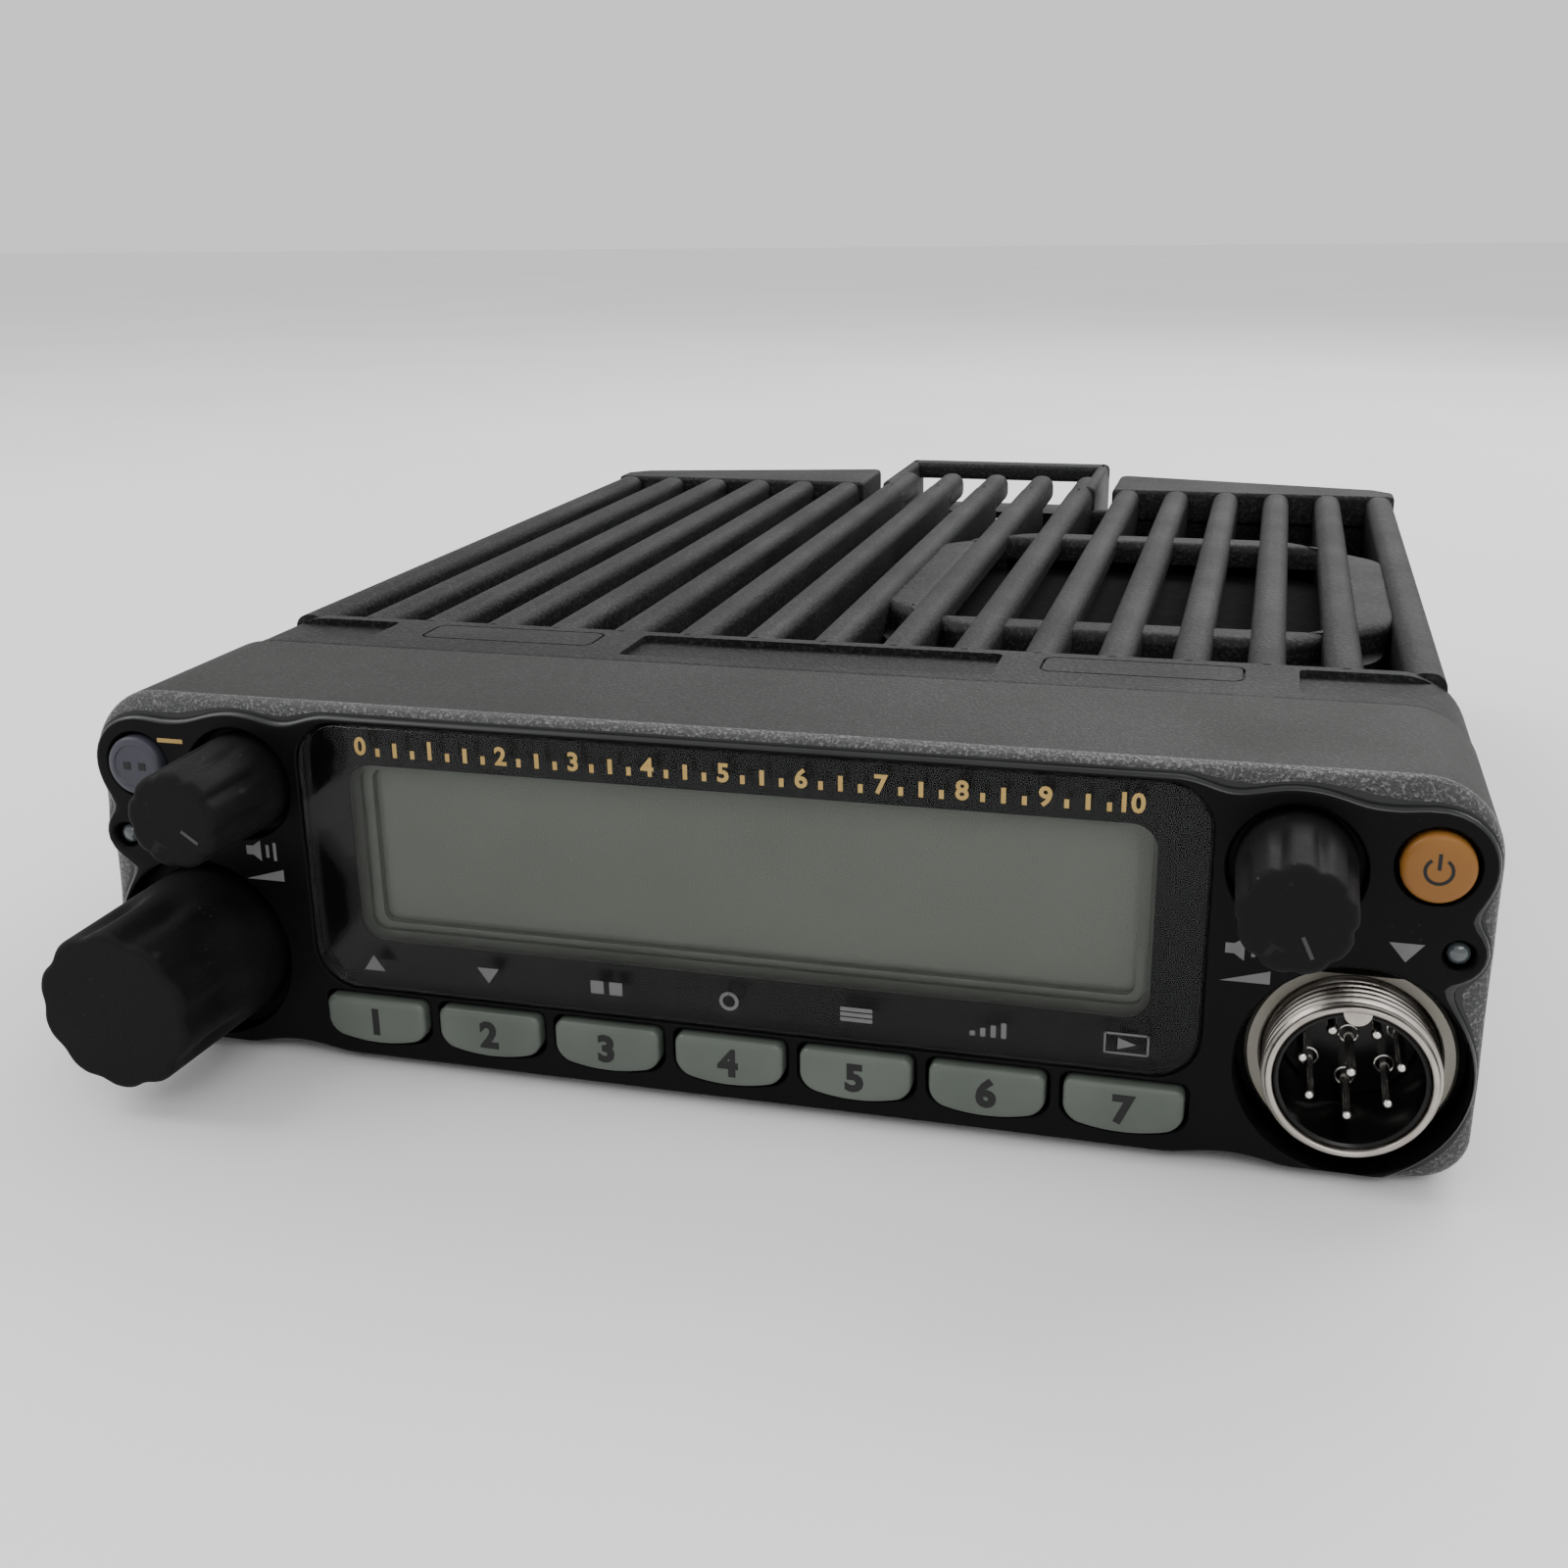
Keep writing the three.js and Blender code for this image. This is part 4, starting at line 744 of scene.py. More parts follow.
# %% Keys
key_back = box_mm("key_1")[1].y
KEY_PROUD = -box_mm("key_1")[0].y
KEY_CROWN = ((0.55, 0.0), (0.3, -0.06), (0.12, -0.2), (0.02, -0.42), (0.0, -0.7))  # depth, grow
for name, m in zip(KEY_NAMES, key_middles):
    key_rings = [at_y(key_outline(0.0), key_back)]
    key_rings += [at_y(key_outline(grow), -KEY_PROUD + depth) for depth, grow in KEY_CROWN]
    cap = moved(loft(key_rings), x=m.x, z=KEY_Z)
    finished(name + "_cap", cap, key_plastic, body=name, instead_of=name)

# %% Round buttons and lamps
button_low, button_high = box_mm("power_button")
DISHED, PLAIN = [(2.35, 0.02), (2.2, 0.14), (0.4, 0.2)], [(1.6, 0.0), (0.4, 0.0)]  # radius, depth
for name, side, material, centre in (("memory_button", -1, violet_plastic, DISHED),
                                     ("power_button", 1, amber_plastic, PLAIN)):
    front = [(3.2, 0.55), (3.1, 0.25), (2.9, 0.08), (2.55, 0.0), *centre]
    profile = [(3.2, button_high.y)] + [(r, button_low.y + depth) for r, depth in front]
    cap = work(name + "_cap", lathe_y(profile, side * BUTTON.x, BUTTON.z))
    settled(cap, material, body=name, instead_of=name)
for name, side in (("main_receive_lamp", -1), ("sub_receive_lamp", 1)):
    profile = [(0.6, box_mm(name)[1].y), (0.6, 2.8), (1.05, 2.7), (1.05, 0.9), (0.95, 0.6),
               (0.7, 0.38), (0.3, 0.26), (0.05, 0.24)]
    light_pipe = lathe_y(profile, side * LAMP.x, LAMP.z, 32)
    finished(name + "_window", light_pipe, lamp_plastic, instead_of=name)

# %% [markdown]
# ## Knobs
# A grip is a radius that depends on the turn and on the depth. The small knobs have narrow flutes
# that start behind the rounded front; the dial has broad finger scoops that fade towards its base.

# %% Fluted grips
NOSE_STEPS = 6


def grip(low, high, base, tip, lobes, depth, sharpness, fade, nose, x, z, around=216, along=34):
    """Rings from the base (y high) to the front (y low); depth is how far the flutes go in.

    fade is where along the grip the flutes begin, where they are full, and how much they lose after.
    """
    begin, full, loss = fade
    stations = []
    for j in range(along + 1):
        t = j / along
        rise = min(1.0, max(0.0, (t - begin) / (full - begin)))
        kept = 1 - loss * max(0.0, (t - full) / (1 - full))
        amount = rise * rise * (3 - 2 * rise) * kept
        stations.append((high - (high - low - nose) * t, base + (tip - base) * t, amount))
    for k in range(1, NOSE_STEPS + 1):
        share = k / NOSE_STEPS
        t = share * math.pi / 2
        amount = (1 - loss) * (1 - 0.5 * k / NOSE_STEPS)
        stations.append((low + nose - nose * math.sin(t), tip - nose * (1 - math.cos(t)), amount))
    stations.append((low, (tip - nose) * 0.72, 0.12))

    def fluted_ring(y, radius, amount):
        def reach(a):
            return radius - depth * amount * (0.5 - 0.5 * math.cos(lobes * a)) ** sharpness

        return at_y(turned(reach, around, x, z), y)

    return loft([fluted_ring(*station) for station in stations])


dial_low, dial_high = box_mm("main_dial")
small_low, small_high = box_mm("sub_volume_knob")
SHAFT_R, SKIRT = 3, 1.9
dial = grip(dial_low.y, SKIRT, 8.8, 8.5, 10, 0.95, 1.5, (0.3, 0.68, 0.45), 0.8, DIAL.x, DIAL.z, 240)
finished("main_dial_grip", dial, knob_rubber, body="main_dial", instead_of="main_dial", sharp=50)
dial_shaft = rod_y(SHAFT_R, SKIRT - 0.5, dial_high.y, DIAL.x, DIAL.z)
finished("main_dial_shaft", dial_shaft, screw_steel, body="main_dial")

# %% Small knobs and their pointers
def pointer_line(x, z, degrees, y, reach, width=0.34):
    """A raised line on the front of a knob, turned clockwise from straight up."""
    a = math.radians(degrees)
    out, across = Vector((math.sin(a), 0, math.cos(a))), Vector((math.cos(a), 0, -math.sin(a)))
    centre = Vector((x, 0, z))
    ends = ((reach[0], -1, -1), (reach[1], 1, -1), (reach[1], 1, 1), (reach[0], -1, 1))
    rings = []
    for depth, grow in ((0.25, 0.0), (-0.05, 0.0), (-0.1, -0.06)):
        corners = [centre + out * (r + s * grow) + across * (side * (width / 2 + grow))
                   for r, s, side in ends]
        rings.append([(c.x, y + depth, c.z) for c in corners])
    return loft(rings)


for name, side, degrees in (("main_volume_knob", -1, 125), ("sub_volume_knob", 1, 155)):
    x = side * KNOB.x
    knob = grip(small_low.y, 1.5, 5.3, 5.0, 9, 0.62, 3.2, (0.12, 0.5, 0.45), 0.9, x, KNOB.z)
    finished(name + "_grip", knob, knob_rubber, body=name, instead_of=name, sharp=50)
    line = pointer_line(x, KNOB.z, degrees, small_low.y + 0.03, (1.4, 3.5))
    finished(name + "_pointer", line, line_ink, body=name)
    shaft = rod_y(SHAFT_R, 1.0, small_high.y, x, KNOB.z)
    finished(name + "_shaft", shaft, screw_steel, body=name)

# %% [markdown]
# ## The microphone socket
# A worn nickel tube with a screw thread, held by a ring nut at the bottom of a deep well. Inside is a
# black insulator with eight round pins. The thread is a real helix: the radius follows the turn.

# %% Threaded tube
shell_low, shell_high = box_mm("mic_socket_shell")
TUBE_R, TUBE_BORE, THREAD = 7.9, 6.9, 1.0
THREAD_TURN, THREAD_ROWS, THREAD_DEPTH, THREAD_BACK = 120, 8, 0.55, 6.6


def thread_radius(y, angle):
    """The ridge follows y and the turn; it runs out over the first half millimetre."""
    phase = (y / THREAD + angle / (2 * math.pi)) % 1.0
    ridge = 1 - abs(2 * phase - 1)
    ramp = min(1.0, (y - shell_low.y - 0.35) / 0.5) if y > shell_low.y + 0.35 else 0.0
    rise = THREAD_DEPTH * (1 - ramp) * 0.25 + THREAD_DEPTH * ramp * min(1.0, ridge * 1.4)
    return TUBE_R - THREAD_DEPTH + rise


def socket_ring(radius, y):
    return at_y(circle(radius, THREAD_TURN, SOCKET.x, SOCKET.z), y)


lip = shell_low.y
rings = [socket_ring(r, y) for r, y in ((TUBE_BORE, shell_high.y), (TUBE_BORE, lip + 0.2),
                                        (TUBE_BORE + 0.16, lip), (TUBE_R - 0.5, lip))]
thread_start = lip + 0.12
rows = int((THREAD_BACK - lip) / THREAD * THREAD_ROWS)
for i in range(rows + 1):
    y = thread_start + (THREAD_BACK - thread_start) * i / rows
    rings.append(at_y(turned(lambda a: thread_radius(y, a), THREAD_TURN, SOCKET.x, SOCKET.z), y))
rings += [socket_ring(r, y) for r, y in ((TUBE_R + 0.7, 7.1), (TUBE_R + 0.7, 9.1), (TUBE_R - 0.1, 9.1),
                                         (TUBE_R - 0.1, shell_high.y))]
tube = work("mic_socket_tube", loft(rings, looped=True))
settled(tube, thread_nickel, instead_of="mic_socket_shell", sharp=60, weighted=False)

# %% Ring nut, with a flat above and below
nut_low, nut_high = box_mm("mic_socket_nut")
nut_r = (nut_high.x - nut_low.x) / 2
FLAT, NUT_BORE = TUBE_R + 0.35, TUBE_R + 0.15
profile = [(NUT_BORE, nut_high.y), (NUT_BORE, nut_low.y + 0.2), (NUT_BORE + 0.2, nut_low.y),
           (nut_r - 0.3, nut_low.y), (nut_r, nut_low.y + 0.3), (nut_r, nut_high.y)]
rings = [[(SOCKET.x + dx, y, SOCKET.z + max(-FLAT, min(FLAT, dz))) for dx, dz in circle(r, 96)]
         for r, y in profile]
finished("mic_socket_ring_nut", loft(rings, looped=True), nut_nickel, instead_of="mic_socket_nut")

# %% Insulator with its key
insert_high = box_mm("mic_socket_insert")[1]
INSULATOR_FACE = 8.3
LINER_R = TUBE_BORE - 0.55
liner = [(TUBE_BORE - 0.12, insert_high.y), (TUBE_BORE - 0.12, lip + 0.5),
         (TUBE_BORE - 0.3, lip + 0.35), (LINER_R, lip + 0.5), (LINER_R, INSULATOR_FACE - 0.2),
         (LINER_R - 0.2, INSULATOR_FACE), (0.3, INSULATOR_FACE)]
lined = work("mic_socket_insulator", lathe_y(liner, SOCKET.x, SOCKET.z, 96))
settled(lined, insulator, instead_of="mic_socket_insert")
key_tab = [(SOCKET.x + dx, SOCKET.z + TUBE_BORE - 0.1 + min(dz, 0.1)) for dx, dz in circle(1.25, 32)]
tab = rounded(work("mic_socket_key", prism_y(key_tab, lip + 0.25, 2.5)), 0.12, 2)
settled(tab, thread_nickel)

# %% [markdown]
# ### Pins by Geometry Nodes
# Seven equal pins stand on a circle and one in the middle. A node tree makes one pin, a collar, a
# shank and a ball tip, and copies it to the points of a circle, so that the count and the circle can
# be changed in one place.

# %% Geometry Nodes helpers
def node_tree(name, inputs):
    """A Geometry Nodes tree, what it is given, and its end."""
    tree = bpy.data.node_groups.new(name, "GeometryNodeTree")
    for label, kind, value in inputs:
        tree.interface.new_socket(label, in_out="INPUT", socket_type=kind).default_value = value
    tree.interface.new_socket("Geometry", in_out="OUTPUT", socket_type="NodeSocketGeometry")
    return tree, tree.nodes.new("NodeGroupInput").outputs, tree.nodes.new("NodeGroupOutput").inputs


def grown(name, tree, values, material):
    """Runs the tree with these inputs and returns the result as a plain work object."""
    obj = bpy.data.objects.new(name, bpy.data.meshes.new(name))
    bpy.context.scene.collection.objects.link(obj)
    mod = obj.modifiers.new("grow", "NODES")
    mod.node_group = tree
    for item in tree.interface.items_tree:
        if item.item_type == "SOCKET" and item.in_out == "INPUT" and item.name in values:
            mod[item.identifier] = values[item.name]
    applied(obj)
    obj.data.materials.clear()
    obj.data.materials.append(material)
    return obj


def joined(tree, *pieces):
    node = tree.nodes.new("GeometryNodeJoinGeometry")
    for piece in pieces:
        wire(tree, piece.outputs[0], node.inputs[0])
    return node.outputs[0]


def ended(tree, points, piece, gives, material):
    """A copy of the piece at each point, Realize Instances, Set Material and the output."""
    copies = add(tree, "GeometryNodeInstanceOnPoints", Points=points, Instance=piece)
    real = tree.nodes.new("GeometryNodeRealizeInstances")
    wire(tree, copies.outputs[0], real.inputs[0])
    paint = add(tree, "GeometryNodeSetMaterial", Geometry=real.outputs[0], Material=material)
    wire(tree, paint.outputs[0], gives[0])


INT = "NodeSocketInt"

# %% The pin tree
pins, given, gives = node_tree("socket_pins", [
    ("Count", INT, 7), ("Circle", FLOAT, 4.45), ("Pin Radius", FLOAT, 0.42), ("Length", FLOAT, 8.0)])
pin_radius, length = given["Pin Radius"], given["Length"]
ring = add(pins, "GeometryNodeMeshCircle", Vertices=given["Count"], Radius=given["Circle"])
points = joined(pins, ring, add(pins, "GeometryNodeMeshLine", Count=1))
shank = add(pins, "GeometryNodeMeshCylinder", Vertices=20, Radius=pin_radius, Depth=length)
ball_radius = maths(pins, "MULTIPLY", pin_radius, 1.2)
ball = add(pins, "GeometryNodeMeshUVSphere", Segments=20, Rings=10, Radius=ball_radius)
collar_radius = maths(pins, "MULTIPLY", pin_radius, 1.9)
path = add(pins, "GeometryNodeCurvePrimitiveCircle", Resolution=28, Radius=collar_radius)
section = add(pins, "GeometryNodeCurvePrimitiveCircle", Resolution=8, Radius=0.13)
collar = add(pins, "GeometryNodeCurveToMesh", Curve=path.outputs[0], Profile_Curve=section.outputs[0])
raised = []
for piece, height in ((shank, maths(pins, "MULTIPLY", length, 0.5)), (ball, length)):
    lift = add(pins, "ShaderNodeCombineXYZ", Z=height).outputs[0]
    raised.append(add(pins, "GeometryNodeTransform", Geometry=piece.outputs[0], Translation=lift))
ended(pins, points, joined(pins, *raised, collar), gives, pin_silver)
PIN_R = 0.46
pin_set = grown("mic_socket_pins", pins, {"Pin Radius": PIN_R, "Length": INSULATOR_FACE - PIN_R},
                pin_silver)
to_front = Matrix.Rotation(math.radians(90), 4, "X") @ Matrix.Rotation(math.radians(-90), 4, "Z")
pin_set.data.transform(Matrix.Translation((SOCKET.x, INSULATOR_FACE, SOCKET.z)) @ to_front)
settled(pin_set, pin_silver, sharp=40, weighted=False)

# %% [markdown]
# ## The chassis
# The heat sink is a row of seventeen equal ribs with rounded tops, standing on a plate between the
# front flange and the rear panel. The five in the middle run on as thin bars over the fan's duct and
# end free and rounded.

# %% The rib tree: a bar of rounded section whose free end shrinks along a quarter circle
ribs, given, gives = node_tree("rib_row", [
    ("Count", INT, 17), ("Pitch", FLOAT, 8.19), ("Width", FLOAT, 4.6), ("Height", FLOAT, 16.0),
    ("Length", FLOAT, 100.0), ("Crown", FLOAT, 1.6), ("Tip", FLOAT, 0.001)])
section = add(ribs, "GeometryNodeCurvePrimitiveQuadrilateral", Width=given["Width"],
              Height=given["Height"])
fillet = add(ribs, "GeometryNodeFilletCurve", Curve=section.outputs[0], Radius=given["Crown"])
if hasattr(fillet, "mode"):
    fillet.mode = "POLY"
fillet.inputs["Count"].default_value = 5
path_end = add(ribs, "ShaderNodeCombineXYZ", Y=given["Length"])
path = add(ribs, "GeometryNodeCurvePrimitiveLine", End=path_end.outputs[0])
resample = add(ribs, "GeometryNodeResampleCurve", Curve=path.outputs[0], Count=60)
along = add(ribs, "GeometryNodeSplineParameter").outputs["Length"]
left_over = maths(ribs, "SUBTRACT", given["Length"], along)
share = maths(ribs, "DIVIDE", left_over, given["Tip"], clamp=True)
square = maths(ribs, "POWER", maths(ribs, "SUBTRACT", 1.0, share), 2.0)
root = maths(ribs, "POWER", maths(ribs, "SUBTRACT", 1.0, square), 0.5)
scale = maths(ribs, "MAXIMUM", root, 0.05)
taper = add(ribs, "GeometryNodeSetCurveRadius", Curve=resample.outputs[0], Radius=scale)
bar = add(ribs, "GeometryNodeCurveToMesh", Curve=taper.outputs[0], Profile_Curve=fillet.outputs[0],
          Fill_Caps=True)
if "Scale" in bar.inputs:
    wire(ribs, scale, bar.inputs["Scale"])
step = add(ribs, "ShaderNodeCombineXYZ", X=given["Pitch"])
row = add(ribs, "GeometryNodeMeshLine", Count=given["Count"], Offset=step.outputs[0])
ended(ribs, row.outputs[0], bar.outputs[0], gives, cast_paint)

# %% Ribs in place, hollowed over the loudspeaker
TOP_Z = chassis_high.z
PLATE_TOP, FLANGE_BACK = 23.5, 40.2
RIB_COUNT, RIB_WIDTH = 17, 4.2
RIB_PITCH = (2 * HALF - 8.96) / (RIB_COUNT - 1)
DEPTH = rear_high.y
RIB_BACK, CENTRE_BACK = DEPTH - 29.7, DEPTH - 14.5
REAR_FACE = RIB_BACK + 3.2


def rib_bars(name, count, y0, y1, z0, tip=0.001, crown=1.7):
    height = TOP_Z - z0
    sizes = {"Count": count, "Pitch": RIB_PITCH, "Width": RIB_WIDTH, "Height": height,
             "Length": y1 - y0, "Crown": crown, "Tip": tip}
    obj = grown(name, ribs, sizes, cast_paint)
    obj.data.transform(Matrix.Translation((-(count - 1) / 2 * RIB_PITCH, y0, z0 + height / 2)))
    return obj


full = rib_bars("heat_sink_ribs", RIB_COUNT, FLANGE_BACK - 1.5, RIB_BACK + 1, PLATE_TOP - 2)
BAY = Vector((HALF - 38, DEPTH / 2 - 5.75, TOP_Z - 1.1))
BAY_W, BAY_L, BAY_CUT = 65.0, 64.0, 13.0


def octagon(width, length, corner):
    """An eight-sided outline round the loudspeaker, with its corners softened."""
    w, l = width / 2, length / 2
    corners = [(-w + corner, -l), (w - corner, -l), (w, -l + corner), (w, l - corner),
               (w - corner, l), (-w + corner, l), (-w, l - corner), (-w, -l + corner)]
    return [(BAY.x + x, BAY.y + y) for x, y in softened(corners, 3.0)]


cut(full, prism_z(octagon(BAY_W - 6, BAY_L - 6, BAY_CUT - 1.5), PLATE_TOP - 4, BAY.z - 1.6))
settled(full, cast_paint, instead_of="heat_sink", sharp=50)
bars = rib_bars("duct_bars", 5, RIB_BACK - 2, CENTRE_BACK, TOP_Z - 5, tip=2.6, crown=1.9)
settled(bars, cast_paint, sharp=60)

# %% [markdown]
# ### Flange, walls and hood
# The flange meets the head with the same rounded shoulders. It carries flush pads with a thin dark
# outline and shallow pockets. Behind it come the side walls, the rear panel with its swept eaves and
# the hood over the fan. Each is its own rounded solid, standing into its neighbour.

# %% Flange with pads and pockets
FRONT = chassis_low.y
FLOOR = chassis_low.z


def flange_ring(inset, y):
    outline = rounded_outline(-HALF + inset, HALF - inset, FLOOR + inset, TOP_Z - inset,
                              UPPER_R - inset, 2.5, 12)
    return at_y(outline, y)


FLANGE_RINGS = ((0.5, FRONT), (0.1, FRONT + 0.15), (0.0, FRONT + 0.5), (0.0, FLANGE_BACK - 1.2),
                (0.35, FLANGE_BACK - 0.35), (1.2, FLANGE_BACK))
flange = work("flange", loft([flange_ring(inset, y) for inset, y in FLANGE_RINGS]))
POCKET_FRONT, POCKET_BACK, POCKET_DEPTH = FRONT + 2.5, FLANGE_BACK - 2.8, 0.8


def pocket_tool(x0, x1):
    outline = rounded_outline(x0, x1, POCKET_FRONT, POCKET_BACK, 0.8, steps=4)
    return prism_z(outline, TOP_Z - POCKET_DEPTH, TOP_Z + 2)


def at_z(ring, z):
    return [(x, y, z) for x, y in ring]


PAD_X, PAD_Y, PAD_CORNER = (25.6, 47.0), (31.0, 37.3), 1.4
GROOVE, GROOVE_DEPTH = 0.28, 0.35
cut(flange, pocket_tool(-21, 21))
for side in (-1, 1):
    cut(flange, pocket_tool(*sorted((side * 52.5, side * (HALF + 2)))))
    x0, x1 = sorted(side * x for x in PAD_X)
    a, b = (rounded_outline(x0 + g, x1 - g, PAD_Y[0] + g, PAD_Y[1] - g, PAD_CORNER - g, steps=6)
            for g in (0.0, GROOVE))
    low, high = TOP_Z - GROOVE_DEPTH, TOP_Z + 1
    cut(flange, loft([at_z(a, low), at_z(a, high), at_z(b, high), at_z(b, low)], looped=True))
settled(flange, cast_paint, instead_of="chassis")

# %% Loudspeaker bay
BAY_POINTS = 160
MOUTH_W, MOUTH_L, MOUTH_CORNER = 51.0, 52.0, 4


def bay_out(grow):
    return spread(octagon(BAY_W + 2 * grow, BAY_L + 2 * grow, BAY_CUT), BAY_POINTS)


def bay_mouth(grow):
    """The inner outline, starting at the point that is nearest to the outer one's start."""
    w, l = MOUTH_W / 2 + grow, MOUTH_L / 2 + grow
    outline = rounded_outline(BAY.x - w, BAY.x + w, BAY.y - l, BAY.y + l, MOUTH_CORNER + grow)
    points = spread(outline, BAY_POINTS)
    first = bay_out(0)[0]
    k = min(range(BAY_POINTS), key=lambda i: math.dist(points[i], first))
    return points[k:] + points[:k]


top, lip = BAY.z, 1.3
bends = [(lip * (1 - math.cos(t)), top - lip + lip * math.sin(t)) for t in (0.4, 0.8, 1.2, math.pi / 2)]
rings = [at_z(bay_out(0), PLATE_TOP - 2), at_z(bay_out(0), top - lip)]
rings += [at_z(bay_out(-inset), z) for inset, z in bends]
rings += [at_z(bay_mouth(inset), z) for inset, z in [*bends[::-1], (0.0, top - lip)]]
UNDER = 5  # how far the wall is undercut below the lip
rings += [at_z(bay_mouth(0), top - 3.2), at_z(bay_mouth(UNDER), top - 3.4),
          at_z(bay_mouth(UNDER), PLATE_TOP - 2)]
finished("speaker_bay", loft(rings, looped=True), cast_paint, sharp=50)

# %% Walls, plate, rear panel and eaves
INSET, WALL, SHOULDER = 0.5, 2.5, 32.0
HOOD, HOOD_WALL = 18.8, 2.2
side_x = HALF - INSET


def slab(x0, x1, y0, y1, z0, z1):
    return prism_z([(x0, y0), (x1, y0), (x1, y1), (x0, y1)], z0, z1)


def side_slab(side, xa, xb, *rest):
    return slab(*sorted((side * xa, side * xb)), *rest)


pieces = []
for side in (-1, 1):
    pieces.append(side_slab(side, side_x, side_x - WALL, FLANGE_BACK - 2, REAR_FACE - 0.4,
                            FLOOR, SHOULDER))
    pieces.append(side_slab(side, HOOD - HOOD_WALL, side_x - 0.5, RIB_BACK, REAR_FACE,
                            FLOOR, TOP_Z - 4))
settled(rounded(work("side_and_rear_walls", *pieces), 1.0), cast_paint)
plate_solid = slab(-side_x + 1, side_x - 1, FLANGE_BACK - 2, RIB_BACK + 1, PLATE_TOP - 3, PLATE_TOP)
plate = work("heat_sink_plate", plate_solid)
cut(plate, prism_z(octagon(BAY_W - 5, BAY_L - 5, BAY_CUT - 1), PLATE_TOP - 5, PLATE_TOP + 1))
settled(plate, cast_paint)
NOTCH = HOOD + 3.1
EAVES_PLAN = [(side_x - 1.5, RIB_BACK - 0.6), (side_x - 1.5, DEPTH - 25.5),
              (side_x - 4.5, DEPTH - 22.5), (NOTCH + 1, DEPTH - 13.5), (NOTCH, DEPTH - 14.5),
              (NOTCH, RIB_BACK - 0.6)]
eaves = [prism_z([(side * x, y) for x, y in EAVES_PLAN], TOP_Z - 5.4, TOP_Z) for side in (-1, 1)]
settled(rounded(work("eaves", *eaves), 1.1, 4), cast_paint)

# %% Fan hood
hood = [side_slab(side, HOOD, HOOD - HOOD_WALL, REAR_FACE - 2, DEPTH, FLOOR, TOP_Z) for side in (-1, 1)]
hood.append(slab(-HOOD, HOOD, DEPTH - 4.6, DEPTH, TOP_Z - 3.0, TOP_Z))
settled(rounded(work("fan_hood", *hood), 0.9, 3), cast_paint, instead_of="rear_frame")

# %% [markdown]
# ## Rear connectors
# The antenna socket has a coarse outside thread round a pale insulator with a split contact. The data
# socket is a nickel shell round a black block with two rows of holes, between two hexagonal posts.

# %% Antenna socket
antenna_low, antenna_high = box_mm("antenna_socket")
antenna = (antenna_low + antenna_high) / 2
ANTENNA_R, ANTENNA_PITCH, PLATE_Y, PLATE_THICK = 7.9, 1.06, REAR_FACE + 0.3, 1.8
ROOT_R, END = ANTENNA_R - 0.5, antenna_high.y
barrel = [(2.0, PLATE_Y - 2), (ANTENNA_R - 0.3, PLATE_Y - 2), (ANTENNA_R - 0.3, PLATE_Y + 2.4)]
for i in range(int((END - PLATE_Y - 3.2) / ANTENNA_PITCH)):
    y = PLATE_Y + 2.6 + i * ANTENNA_PITCH
    barrel += [(ROOT_R, y), (ANTENNA_R, y + 0.3), (ANTENNA_R, y + 0.55), (ROOT_R, y + 0.85)]
barrel += [(ROOT_R, END - 0.2), (ANTENNA_R - 0.8, END), (6.5, END), (6.2, END - 0.3), (6.2, END - 5),
           (2.0, END - 5)]
flange_outline = box_outline(antenna_low, antenna_high, 0, 1.5)
mounting = work("antenna_mounting", prism_y(flange_outline, PLATE_Y, PLATE_Y + PLATE_THICK))
settled(rounded(mounting, 0.25, 2), nut_nickel, sharp=40)
barrel_work = work("antenna_barrel", lathe_y(barrel, antenna.x, antenna.z, 72))
settled(barrel_work, nut_nickel, instead_of="antenna_socket", sharp=40)
seat = [(6.15, END - 5.2), (6.15, END - 3.4), (5.9, END - 3.1), (3.2, END - 3.1), (3.2, END - 5.2)]
finished("antenna_insulator", lathe_y(seat, antenna.x, antenna.z, 48), pale_plastic)
tube_end = END - 1.2
contact = [(2.9, END - 5.2), (2.9, tube_end - 0.3), (2.6, tube_end), (1.9, tube_end),
           (1.7, tube_end - 0.3), (1.7, END - 5.2)]
split = work("antenna_contact", lathe_y(contact, antenna.x, antenna.z, 40))
SLIT_REACH, SLIT_HALF = 4.0, 0.22
for degrees in (45, 135):
    t = math.radians(degrees)
    corners = [(-SLIT_REACH, -SLIT_HALF), (SLIT_REACH, -SLIT_HALF), (SLIT_REACH, SLIT_HALF),
               (-SLIT_REACH, SLIT_HALF)]
    c, d = math.cos(t), math.sin(t)
    outline = [(antenna.x + a * c - b * d, antenna.z + a * d + b * c) for a, b in corners]
    cut(split, prism_y(outline, tube_end - 2.4, tube_end + 1))
settled(split, pin_silver, sharp=40)
SCREW_REACH, SLOT_HALF = 9.1, 0.18
screw_head = [(1.7, PLATE_Y + 1.7), (1.7, PLATE_Y + 2.2), (1.2, PLATE_Y + 2.6), (0.2, PLATE_Y + 2.7)]
for x in (antenna.x - SCREW_REACH, antenna.x + SCREW_REACH):
    for z in (antenna.z - SCREW_REACH, antenna.z + SCREW_REACH):
        screw = work("antenna_screw", lathe_y(screw_head, x, z, 24))
        slot = [(x - 1.1, z - SLOT_HALF), (x + 1.1, z - SLOT_HALF), (x + 1.1, z + SLOT_HALF),
                (x - 1.1, z + SLOT_HALF)]
        cut(screw, prism_y(slot, PLATE_Y + 2.3, PLATE_Y + 3))
        settled(screw, screw_steel, sharp=35)

# %% Data socket
data_low, data_high = box_mm("data_socket")
data = (data_low + data_high) / 2
data_plan = box_outline(data_low, data_high, 0, 1.2)
bracket = rounded(work("data_bracket", prism_y(data_plan, PLATE_Y, PLATE_Y + 1.0)), 0.2, 2)
settled(bracket, nut_nickel, instead_of="data_socket")


